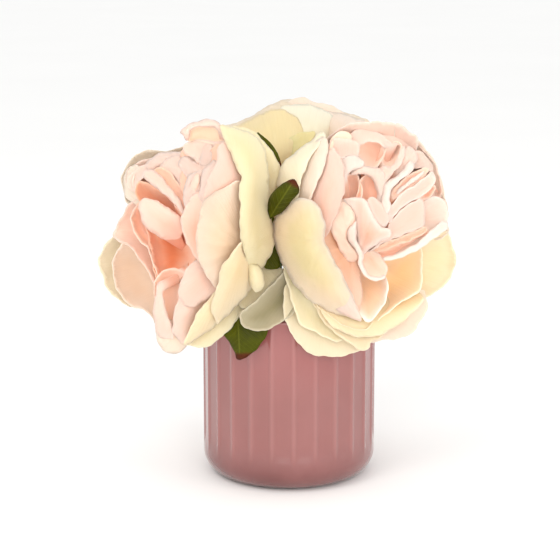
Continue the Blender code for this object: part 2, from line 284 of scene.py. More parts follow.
def leaf_material(name="leaf_detail", browned=True):
    """Dark olive leaf: lighter midrib and side veins, and a tip that has browned on most of them."""
    n = Nodes(name)
    t, u = n.attribute("along"), n.attribute("across")
    coords = n.add("ShaderNodeTexCoord").outputs["Object"]
    blotch = n.noise(coords, 90.0, 4.0)
    colour = n.mix(blotch, lin((34, 36, 0)), lin((86, 90, 0)))
    au = n.maths("ABSOLUTE", u)
    rib = n.maths("SUBTRACT", 1.0, n.smooth(au, 0.02, 0.09))
    side = n.add("ShaderNodeTexWave", wave_type="BANDS", bands_direction="X")
    n.link(n.combine(n.maths("SUBTRACT", n.maths("MULTIPLY", t, 8.0), n.maths("MULTIPLY", au, 2.2)), 0.0), side.inputs["Vector"])
    side.inputs["Scale"].default_value = 0.35
    side.inputs["Distortion"].default_value = 0.6
    fine = n.smooth(side.outputs["Fac"], 0.86, 1.0)
    colour = n.mix(n.maths("MULTIPLY", fine, 0.12), colour, lin((116, 124, 30)))
    colour = n.mix(n.maths("MULTIPLY", rib, 0.25), colour, lin((124, 128, 40)))
    tip = n.smooth(n.maths("ADD", t, n.maths("MULTIPLY", n.maths("SUBTRACT", blotch, 0.5), 0.16)), 0.80, 0.90)
    if browned:
        colour = n.mix(tip, colour, lin((78, 34, 12)))
    n.link(colour, n.bsdf.inputs["Base Color"])
    n.link(n.maths("ADD", n.maths("MULTIPLY", blotch, 0.25), 0.42), n.bsdf.inputs["Roughness"])
    n.bsdf.inputs["Specular IOR Level"].default_value = 0.12
    n.bump(n.maths("ADD", n.maths("MULTIPLY", rib, 0.8), n.maths("ADD", fine, n.maths("MULTIPLY", blotch, 0.3))), 0.5, 0.0008)
    return n.mat


def green_material(name, dark, light, scale):
    n = Nodes(name)
    coords = n.add("ShaderNodeTexCoord").outputs["Object"]
    stretch = n.add("ShaderNodeMapping")
    n.link(coords, stretch.inputs["Vector"])
    stretch.inputs["Scale"].default_value = (1.0, 1.0, 0.12)
    streak = n.noise(stretch.outputs[0], scale, 4.0)
    spots = n.noise(coords, scale * 0.4, 3.0)
    n.link(n.mix(n.maths("MULTIPLY", n.maths("ADD", streak, spots), 0.5), lin(dark), lin(light)), n.bsdf.inputs["Base Color"])
    n.link(n.maths("ADD", n.maths("MULTIPLY", streak, 0.3), 0.35), n.bsdf.inputs["Roughness"])
    n.bump(streak, 0.35, 0.0006)
    return n.mat


def glass_material():
    """Opaque milky rose glass: slightly cloudy, darker in the foot as painted shade where it stands on the floor."""
    n = Nodes("rose_glass_detail")
    coords = n.add("ShaderNodeTexCoord").outputs["Object"]
    split = n.add("ShaderNodeSeparateXYZ")
    n.link(coords, split.inputs[0])
    height = split.outputs["Z"]
    cloud = n.noise(coords, 24.0, 4.0)
    streak = n.add("ShaderNodeMapping")
    n.link(coords, streak.inputs["Vector"])
    streak.inputs["Scale"].default_value = (1.0, 1.0, 0.06)
    drawn = n.noise(streak.outputs[0], 140.0, 3.0)
    # Painted shade: the glass darkens towards the foot, where it stands on the floor.
    colour = n.mix(n.smooth(height, 0.0, 0.030), lin((100, 52, 51)), lin((140, 86, 83)))
    colour = n.mix(n.maths("MULTIPLY", n.smooth(height, 0.045, 0.100), 0.7), colour, lin((162, 86, 85)))
    colour = n.mix(n.maths("MULTIPLY", n.smooth(cloud, 0.35, 0.7), 0.35), colour, lin((154, 100, 98)))
    colour = n.mix(n.maths("MULTIPLY", drawn, 0.30), colour, lin((130, 80, 76)))
    ridge = n.attribute("ridge")
    # Painted highlight: the flute ridges are lightened, standing for the bright lines they catch.
    colour = n.mix(n.maths("MULTIPLY", ridge, 0.13), colour, lin((196, 148, 144)))
    n.link(colour, n.bsdf.inputs["Base Color"])
    n.link(n.maths("ADD", n.maths("MULTIPLY", cloud, 0.08), 0.13), n.bsdf.inputs["Roughness"])
    n.bsdf.inputs["Subsurface Weight"].default_value = 0.12
    n.bsdf.inputs["Subsurface Radius"].default_value = (1.0, 0.5, 0.45)
    n.bsdf.inputs["Subsurface Scale"].default_value = 0.004
    n.bsdf.inputs["Coat Weight"].default_value = 0.5
    n.bsdf.inputs["Coat Roughness"].default_value = 0.06
    n.bsdf.inputs["IOR"].default_value = 1.5
    n.bump(n.maths("ADD", drawn, n.maths("MULTIPLY", cloud, 0.5)), 0.12, 0.0006)
    return n.mat


# ================================================================ mesh helpers
def make(name, verts, faces, mat, attributes=(), smooth=True):
    mesh = bpy.data.meshes.new(name)
    mesh.from_pydata([tuple(v) for v in verts], [], faces)
    for key, values in attributes:
        layer = mesh.attributes.new(key, "FLOAT", "POINT")
        layer.data.foreach_set("value", np.asarray(values, dtype=np.float32))
    if smooth:
        mesh.shade_smooth()
    mesh.materials.append(mat)
    ob = bpy.data.objects.new(name, mesh)
    bpy.context.scene.collection.objects.link(ob)
    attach(ob, "root")
    return ob


def uv_grid(mesh, nu, nv):
    layer = mesh.uv_layers.new(name="UVMap")
    for loop in mesh.loops:
        i, j = divmod(loop.vertex_index, nv + 1)
        layer.data[loop.index].uv = (i / nu, j / nv)


def curve_through(points, count):
    """Evenly spaced points along a smooth curve through the given ones."""
    p = np.asarray(points, dtype=float)
    d = np.maximum(np.linalg.norm(np.diff(p, axis=0), axis=1), 1e-6) ** 0.7
    k = np.concatenate([[0], np.cumsum(d)])
    m = np.empty_like(p)
    m[1:-1] = (p[2:] - p[:-2]) / (k[2:] - k[:-2])[:, None]
    m[0] = (p[1] - p[0]) / (k[1] - k[0])
    m[-1] = (p[-1] - p[-2]) / (k[-1] - k[-2])

    def at(x):
        i = np.clip(np.searchsorted(k, x, side="right") - 1, 0, len(k) - 2)
        h = (k[i + 1] - k[i])[:, None]
        s = ((x - k[i])[:, None]) / h
        return ((2 * s**3 - 3 * s**2 + 1) * p[i] + (s**3 - 2 * s**2 + s) * h * m[i]
                + (-2 * s**3 + 3 * s**2) * p[i + 1] + (s**3 - s**2) * h * m[i + 1])

    dense = at(np.linspace(0, k[-1], 600))
    run = np.concatenate([[0], np.cumsum(np.linalg.norm(np.diff(dense, axis=0), axis=1))])
    even = np.linspace(0, run[-1], count)
    return np.stack([np.interp(even, run, dense[:, c]) for c in range(3)], -1), run[-1]


# ================================================================ the blooms' frames, as in the CAD
class Bloom:
    def __init__(self, name, seat, azimuth, tilt):
        self.name = name
        az, t = math.radians(azimuth), math.radians(tilt)
        self.azimuth = az
        self.seat = np.array(seat, dtype=float)
        self.axis = np.array([math.sin(az) * math.cos(t), -math.cos(az) * math.cos(t), math.sin(t)])
        side = np.cross([0, 0, 1], self.axis)
        self.side = side / np.linalg.norm(side)
        self.up = np.cross(self.axis, self.side)

    def world(self, r, phi, h):
        r, phi, h = (np.asarray(v, dtype=float)[..., None] for v in (r, phi, h))
        return self.seat + self.side * (r * np.cos(phi)) + self.up * (r * np.sin(phi)) + self.axis * h


LEFT = Bloom("left", (-20, -10, 136), -62, -1)
RIGHT = Bloom("right", (14, -14, 136), 45, 5)
BACK = Bloom("back", (2, 22, 140), 172, 13)
BLOOMS = {"left": LEFT, "right": RIGHT, "back": BACK}


def soft(g, w):
    return w * np.logaddexp(0.0, g / w)


def clear_of_vase(p, room=1.6):
    """Petals lie on the rim of the vase and hang down its outside."""
    p = p.copy()
    rho = np.maximum(np.hypot(p[:, 0], p[:, 1]), 1e-6)
    a, b = rho - (50.0 + room), p[:, 2] - (100.0 + room)
    k = 3.0
    top = np.maximum(a, b)
    ea, eb = np.exp((a - top) / k), np.exp((b - top) / k)
    g = top + k * np.log(ea + eb) - k * math.log(2)
    wa, wb = ea / (ea + eb), eb / (ea + eb)
    size = np.maximum(np.hypot(wa, wb), 1e-6)
    push = (soft(g, 1.2) - g) / size
    push = np.where(g > 8, 0, push)
    p[:, 0] += push * wa * p[:, 0] / rho
    p[:, 1] += push * wa * p[:, 1] / rho
    p[:, 2] += push * wb
    return p


def clear_of_neighbours(p, bloom, w=3.0, gap=0.4):
    p = p.copy()
    for other in BLOOMS.values():
        if other is bloom:
            continue
        da = np.array([math.sin(bloom.azimuth), -math.cos(bloom.azimuth)])
        db = np.array([math.sin(other.azimuth), -math.cos(other.azimuth)])
        n = (da - db) / np.linalg.norm(da - db)
        g = p[:, :2] @ n - gap
        p[:, :2] += np.outer(soft(g, w) - g, n)
    return p


def seen(x, z, near):
    """The point `near` mm in front of the vase's axis that a drawing of the front shows at x, z. The drawing is at full size at the vase's axis, in the eye's perspective."""
    q = AIM + RIGHT_V * (x - AIM.x) + UP_V * (z - AIM.z * math.cos(ELEV))
    ray = q - EYE
    p = EYE + ray * ((-near - EYE.y) / ray.y)
    return (p.x, p.y, p.z)


def lattice_inside(outline, step):
    """Staggered points inside a closed outline, clear of its edge."""
    lo, hi = outline.min(axis=0), outline.max(axis=0)
    pts = []
    row, y = 0, lo[1] + step * 0.5
    while y < hi[1]:
        xs = np.arange(lo[0] + (row % 2) * step / 2, hi[0], step)
        pts.append(np.stack([xs, np.full_like(xs, y)], -1))
        y += step * 0.866
        row += 1
    pts = np.concatenate(pts)
    a, b = outline, np.roll(outline, -1, axis=0)
    x, y = pts[:, 0][:, None], pts[:, 1][:, None]
    cross = ((a[:, 1] > y) != (b[:, 1] > y)) & (x < (b[:, 0] - a[:, 0]) * (y - a[:, 1]) / np.where(b[:, 1] == a[:, 1], 1e-9, b[:, 1] - a[:, 1]) + a[:, 0])
    inside = cross.sum(axis=1) % 2 == 1
    gap = np.sqrt(((pts[:, None, :] - outline[None]) ** 2).sum(-1)).min(axis=1)
    return pts[inside & (gap > step * 0.55)]


def membrane(name, bloom, belly, rim, tone, h0=5.0, ruf=0.35, rimw=0.7, lip=0.5, closed=True, round_=0.9, thickness=0.4, furrow=1.0, nip=1.0, tail=True, mat=None, slot=None, plain_name=False, blade=None):
    """A petal as a sheet stretched over its outline and swollen or hollowed so that it passes through `belly`. Everything is laid out in the front drawing (x, z) with `near` as the third direction; a claw runs back from the side nearest the receptacle."""
    seed = zlib.crc32((bloom.name + name).encode()) % 100000
    rng = np.random.RandomState(seed)
    rim = np.array(rim, dtype=float)
    foot = bloom.seat + bloom.axis * h0
    foot_d = drawn(foot)
    n_rim = len(rim)
    loop = list(map(tuple, rim))
    if not closed:
        loop.append((foot_d[0], foot_d[1], foot_d[2]))
    wrap = loop[-2:] + loop + loop[:2]
    p = np.array(wrap)
    pieces, is_rim = [], []
    for m in range(2, len(wrap) - 2):
        p0, p1, p2, p3 = p[m - 1], p[m], p[m + 1], p[m + 2] if m + 2 < len(wrap) else p[m + 1]
        steps = max(2, int(np.linalg.norm((p2 - p1)[:2]) / 1.1))
        ts = np.arange(steps)[:, None] / steps
        m1, m2 = (p2 - p0) / 2, (p3 - p1) / 2
        seg = (2 * ts**3 - 3 * ts**2 + 1) * p1 + (ts**3 - 2 * ts**2 + ts) * m1 + (-2 * ts**3 + 3 * ts**2) * p2 + (ts**3 - ts**2) * m2
        pieces.append(seg)
        is_rim += [(m - 2) < n_rim - 1 or closed] * len(seg)
    border = np.concatenate(pieces)
    is_rim = np.array(is_rim)
    nb = len(border)
    run = np.concatenate([[0], np.cumsum(np.linalg.norm(np.diff(border[:, :2], axis=0), axis=1))])
    round_trip = run[-1] + 1.0
    nibble = sum(rng.uniform(0.5, 1) * np.sin(2 * math.pi * run / round_trip * max(1, round(round_trip / lam)) + rng.uniform(0, 6.28)) * amp for lam, amp in ((14, 0.30), (7.5, 0.22), (3.9, 0.10)))
    ahead, behind = np.roll(border, -2, axis=0), np.roll(border, 2, axis=0)
    flow = (ahead - behind)[:, :2]
    flow /= np.maximum(np.linalg.norm(flow, axis=1, keepdims=True), 1e-6)
    small = min(1.0, round_trip / 70.0)
    border[:, 0] += flow[:, 1] * nibble * nip * small
    border[:, 1] -= flow[:, 0] * nibble * nip * small
    area = 0.5 * abs(np.sum(border[:, 0] * np.roll(border[:, 1], -1) - np.roll(border[:, 0], -1) * border[:, 1]))
    step = max(1.35, math.sqrt(area / 620.0))
    inner = lattice_inside(border[:, :2], step)
    flat2 = np.concatenate([border[:, :2], inner])
    edges = [(q, (q + 1) % nb) for q in range(nb)]
    verts2, _, faces, orig, _, _ = delaunay_2d_cdt([Vector(v) for v in flat2], edges, [], 1, 1e-5)
    verts2 = np.array([tuple(v) for v in verts2])
    depth = np.zeros(len(verts2))
    fixed = np.zeros(len(verts2), bool)
    on_rim = np.zeros(len(verts2), bool)
    for v, src in enumerate(orig):
        for q in src:
            if q < nb:
                fixed[v] = True
                depth[v] = border[q, 2]
                on_rim[v] = is_rim[q]
    tri = np.array([f for f in faces if len(f) == 3])
    # cotangent weights
    n = len(verts2)
    w = np.zeros((n, n))
    for c in range(3):
        o, u, v = tri[:, c], tri[:, (c + 1) % 3], tri[:, (c + 2) % 3]
        e1, e2 = verts2[u] - verts2[o], verts2[v] - verts2[o]
        cr = np.abs(e1[:, 0] * e2[:, 1] - e1[:, 1] * e2[:, 0])
        cot = np.clip((e1 * e2).sum(-1) / np.maximum(cr, 1e-9), -0.5, 6) / 2
        np.add.at(w, (u, v), cot)
        np.add.at(w, (v, u), cot)
    lap = np.diag(w.sum(axis=1)) - w
    free = ~fixed
    lap_ff = lap[np.ix_(free, free)] + np.eye(free.sum()) * 1e-9
    rhs = np.stack([-lap[np.ix_(free, fixed)] @ depth[fixed], np.full(free.sum(), step * step)], -1)
    sol = np.linalg.solve(lap_ff, rhs)
    depth[free] = sol[:, 0]
    swell = np.zeros(n)
    swell[free] = np.maximum(sol[:, 1], 0)
    swell = (swell / swell.max()) ** round_
    k = np.argmin(((verts2 - np.array(belly[:2])) ** 2).sum(-1))
    beta = (belly[2] - depth[k]) / max(swell[k], 0.35)
    # distances on the sheet
    b_pts = border[is_rim][:, :2]
    edge = np.sqrt(((verts2[:, None, :] - b_pts[None]) ** 2).sum(-1)).min(axis=1)
    rel = verts2 - foot_d[:2]
    far = np.hypot(rel[:, 0], rel[:, 1])
    mean = rel.mean(axis=0)
    ang = np.arctan2(mean[0] * rel[:, 1] - mean[1] * rel[:, 0], rel @ mean)
    ang = np.where(far > 8, ang, ang * far / 8)
    depth = depth + beta * swell
    ripple = sum(rng.uniform(0.5, 1) * np.sin(verts2[:, 0] * kx + verts2[:, 1] * ky + rng.uniform(0, 6.28)) * amp
                 for kx, ky, amp in ((0.16 * rng.uniform(-1, 1), 0.16 * rng.uniform(-1, 1), 1.1), (0.33 * rng.uniform(-1, 1), 0.33 * rng.uniform(-1, 1), 0.8), (0.6 * rng.uniform(-1, 1), 0.6 * rng.uniform(-1, 1), 0.45)))
    depth = depth + ripple * ruf * 1.2 * np.clip(edge / 5.0, 0.35, 1)
    fan = sum(rng.uniform(0.5, 1) * np.sin(ang * f + rng.uniform(0, 6.28)) * amp for f, amp in ((7, 0.7), (15, 0.35), (29, 0.16)))
    depth = depth + fan * furrow * np.clip(edge / 3.0, 0, 1) * 0.8
    depth = depth + lip * np.exp(-(edge / 1.6) ** 1.5)
    pts = np.array([seen(x, z, m) for (x, z), m in zip(verts2, depth)])
    flat = clear_of_vase(pts)
    faces = [tuple(f) for f in tri]
    along = np.clip(far / max(far.max(), 1e-6), 0, 1)
    edge_out = edge
    if tail:
        gap = np.linalg.norm(pts - foot, axis=1)
        border_ids = [int(v) for v in range(n) if fixed[v]]
        ring_ids = []
        lookup = {}
        for v, src in enumerate(orig):
            for q in src:
                if q < nb:
                    lookup[q] = v
        order = [lookup[q] for q in range(nb) if q in lookup]
        best = int(np.argmin([gap[v] for v in order]))
        span = max(3, min(7, int(4.5 / 1.1)))
        seg = [order[(best + q) % len(order)] for q in range(-span, span + 1)]
        width = np.linspace(-1, 1, len(seg))
        side = pts[seg[-1]] - pts[seg[0]]
        side = side / max(np.linalg.norm(side), 1e-6)
        target = np.array([foot + side * (x * 1.2) for x in width])
        rows = 7
        extra, faces_extra = [], []
        ids = [seg]
        base_count = len(flat)
        for r in range(1, rows + 1):
            s_ = r / rows
            row_pts = np.array([pts[v] for v in seg]) * (1 - s_) + target * s_
            ids.append(list(range(base_count + len(extra), base_count + len(extra) + len(seg))))
            extra.extend(row_pts)
        for a_, b_ in zip(ids, ids[1:]):
            for q in range(len(seg) - 1):
                faces_extra.append((a_[q], b_[q], b_[q + 1], a_[q + 1]))
        if gap[order[best]] > 2.0:
            flat = np.concatenate([flat, clear_of_vase(np.array(extra))])
            # keep the winding of the claw with the sheet's
            t0 = set(zip(seg, seg[1:]))
            flip = any((f[c], f[(c + 1) % 3]) in t0 for f in faces for c in range(3))
            faces += [tuple(reversed(f)) for f in faces_extra] if not flip else faces_extra
            m = len(extra)
            along = np.concatenate([along, np.zeros(m)])
            ang = np.concatenate([ang, np.tile(width, rows)])
            edge_out = np.concatenate([edge_out, np.full(m, 20.0)])
    if blade:
        start, end = np.array(blade[0][:2]), np.array(blade[1][:2])
        line = (end - start) / np.linalg.norm(end - start)
        r2 = verts2 - start
        along = r2 @ line / np.linalg.norm(end - start)
        ang = (line[0] * r2[:, 1] - line[1] * r2[:, 0]) / 10.0
        seed = 0
    ob = make(name if plain_name else f"{bloom.name}_{name}", flat * MM, faces, mat or petal_material(tone, rimw),
              (("along", along), ("across", ang * 1.3 + seed % 17), ("edge_mm", edge_out)))
    bm_ = bmesh.new()
    bm_.from_mesh(ob.data)
    bmesh.ops.recalc_face_normals(bm_, faces=bm_.faces)
    bm_.to_mesh(ob.data)
    bm_.free()
    ob.data.shade_smooth()
    solid = ob.modifiers.new("tissue", "SOLIDIFY")
    solid.thickness = thickness * MM
    solid.offset = 0.0
    slot = slot or "blush_petal" if slot or any(k_ in tone for k_ in ("pink", "orange", "deep", "pale", "pocket", "peach_in", "tan")) else "cream_petal"
    return ob


def drawn(point):
    """Where the front drawing shows a point: x, z at the vase's axis, and how near it is."""
    p = Vector(point)
    ray = p - EYE
    k = (AIM - EYE).dot(VIEW) / ray.dot(VIEW)
    q = EYE + ray * k
    return np.array((q.x, (q - AIM).dot(UP_V) + AIM.z * math.cos(ELEV), -p.y))


LOOSE = []


def petal(name, bloom, belly, rim, tone, h0=5.0, ruf=0.35, rimw=0.7, roll=0.0, fullness=(0.8, 0.5), aside=False, thickness=0.45):
    """A petal hung between its claw on the receptacle and its rim: each rib runs from the claw through the belly to a point of the rim. Waves along the rim die out towards the claw."""
    seed = zlib.crc32((bloom.name + name).encode()) % 100000
    rng = np.random.RandomState(seed)
    belly = np.asarray(belly, dtype=float)
    _, length = curve_through(rim, 8)
    nu = int(np.clip(length / 1.7, 18, 72))
    nv = 22
    rim_p, length = curve_through(rim, nu + 1)
    out = belly - bloom.seat
    out = out - bloom.axis * (out @ bloom.axis)
    out = out / max(np.linalg.norm(out), 1e-6)
    claw = bloom.seat + bloom.axis * h0 + out * 2.0
    u = np.linspace(0, 1, nu + 1)
    t = 1 - (1 - np.linspace(0, 1, nv + 1)) ** 1.25
    a, b = fullness
    p1 = claw + a * (belly - claw)
    p2 = rim_p + b * (belly - rim_p)
    tt = t[None, :, None]
    grid = ((1 - tt) ** 3 * claw + 3 * (1 - tt) ** 2 * tt * p1 + 3 * (1 - tt) * tt**2 * p2[:, None, :] + tt**3 * rim_p[:, None, :])
    du = np.gradient(grid, axis=0)
    dt = np.gradient(grid, axis=1)
    normal = np.cross(du, dt)
    normal /= np.maximum(np.linalg.norm(normal, axis=-1, keepdims=True), 1e-6)
    if (normal[:, nv * 2 // 3:] @ out).mean() < 0:
        normal = -normal
    along = dt / np.maximum(np.linalg.norm(dt, axis=-1, keepdims=True), 1e-6)
    s = u * length
    wave = sum(rng.uniform(0.6, 1.0) * np.sin(2 * math.pi * s / lam + rng.uniform(0, 6.28)) * amp
               for lam, amp in ((27, 1.0), (15, 0.8), (9.0, 0.42), (5.5, 0.16)))
    frill = sum(rng.uniform(0.6, 1.0) * np.sin(2 * math.pi * s / lam + rng.uniform(0, 6.28)) * amp
                for lam, amp in ((12, 0.55), (6.5, 0.3)))
    taper = np.clip(np.minimum(u, 1 - u) * 6, 0, 1)
    lift = (np.clip((t - 0.35) / 0.65, 0, 1) ** 1.8)[None, :]
    grid = grid + normal * (wave * 1.25 * ruf * taper)[:, None, None] * lift[..., None]
    grid = grid + along * (frill * 0.9 * ruf * taper)[:, None, None] * lift[..., None] ** 2
    hollow = sum(rng.uniform(-1, 1) * np.outer(np.sin(math.pi * k * u + rng.uniform(0, 6.28)), np.sin(math.pi * t) ** 1.5) for k in (2, 3, 5))
    grid = grid + normal * (hollow * 0.8)[..., None]
    if roll:
        grid = grid + normal * (roll * np.clip((t - 0.8) / 0.2, 0, 1) ** 2)[None, :, None]
    flat = grid.reshape(-1, 3)
    if aside:
        flat = clear_of_neighbours(flat, bloom)
    flat = clear_of_vase(flat)
    grid = flat.reshape(grid.shape)
    rib = np.concatenate([np.zeros((nu + 1, 1)), np.cumsum(np.linalg.norm(np.diff(grid, axis=1), axis=-1), axis=1)], axis=1)
    edge = rib[:, -1:] - rib
    faces = []
    for i in range(nu):
        for j in range(nv):
            q = i * (nv + 1) + j
            faces.append((q, q + nv + 1, q + nv + 2, q + 1))
    tgrid = np.broadcast_to(t[None, :], (nu + 1, nv + 1))
    ugrid = np.broadcast_to(u[:, None] * length / 60.0, (nu + 1, nv + 1))
    ob = make(f"{bloom.name}_{name}", flat * MM, faces, petal_material(tone, rimw),
              (("along", tgrid.ravel()), ("across", ugrid.ravel() + seed % 17), ("edge_mm", edge.ravel())))
    uv_grid(ob.data, nu, nv)
    solid = ob.modifiers.new("tissue", "SOLIDIFY")
    solid.thickness = thickness * MM
    solid.offset = 0.0
    return ob


def ring_petal(name, bloom, phi_deg, half_deg, r, h, tone, belly=(0.92, 0.42), shoulder=0.24, flare=0.0, **kw):
    """A petal laid out round the bloom's axis, for the sides that the front drawing doesn't show. r and h place the middle of its rim."""
    rng = np.random.RandomState(zlib.crc32((bloom.name + name + "ring").encode()) % 100000)
    phi = math.radians(phi_deg)
    us = np.linspace(-1, 1, 13)
    notch = rng.uniform(0.0, 0.06)
    hs = h * (1 - shoulder * np.abs(us) ** 2.4 - notch * np.exp(-(us / 0.18) ** 2)) + rng.uniform(-1.2, 1.2, 13)
    rs = r * (1 - 0.07 * np.abs(us) ** 2) * (0.82 + 0.18 * (1 - np.abs(us) ** 3)) + rng.uniform(-0.8, 0.8, 13)
    ph = phi + math.radians(half_deg) * us
    rim = bloom.world(rs, ph, hs)
    low = [bloom.world(rs[0] * 0.72, ph[0] * 1.0, hs[0] * 0.52)], [bloom.world(rs[-1] * 0.72, ph[-1], hs[-1] * 0.52)]
    rim = np.concatenate([low[0], rim, low[1]])
    belly_p = bloom.world(r * belly[0], phi, h * belly[1])
    return petal(name, bloom, belly_p, rim, tone, aside=True, **kw)


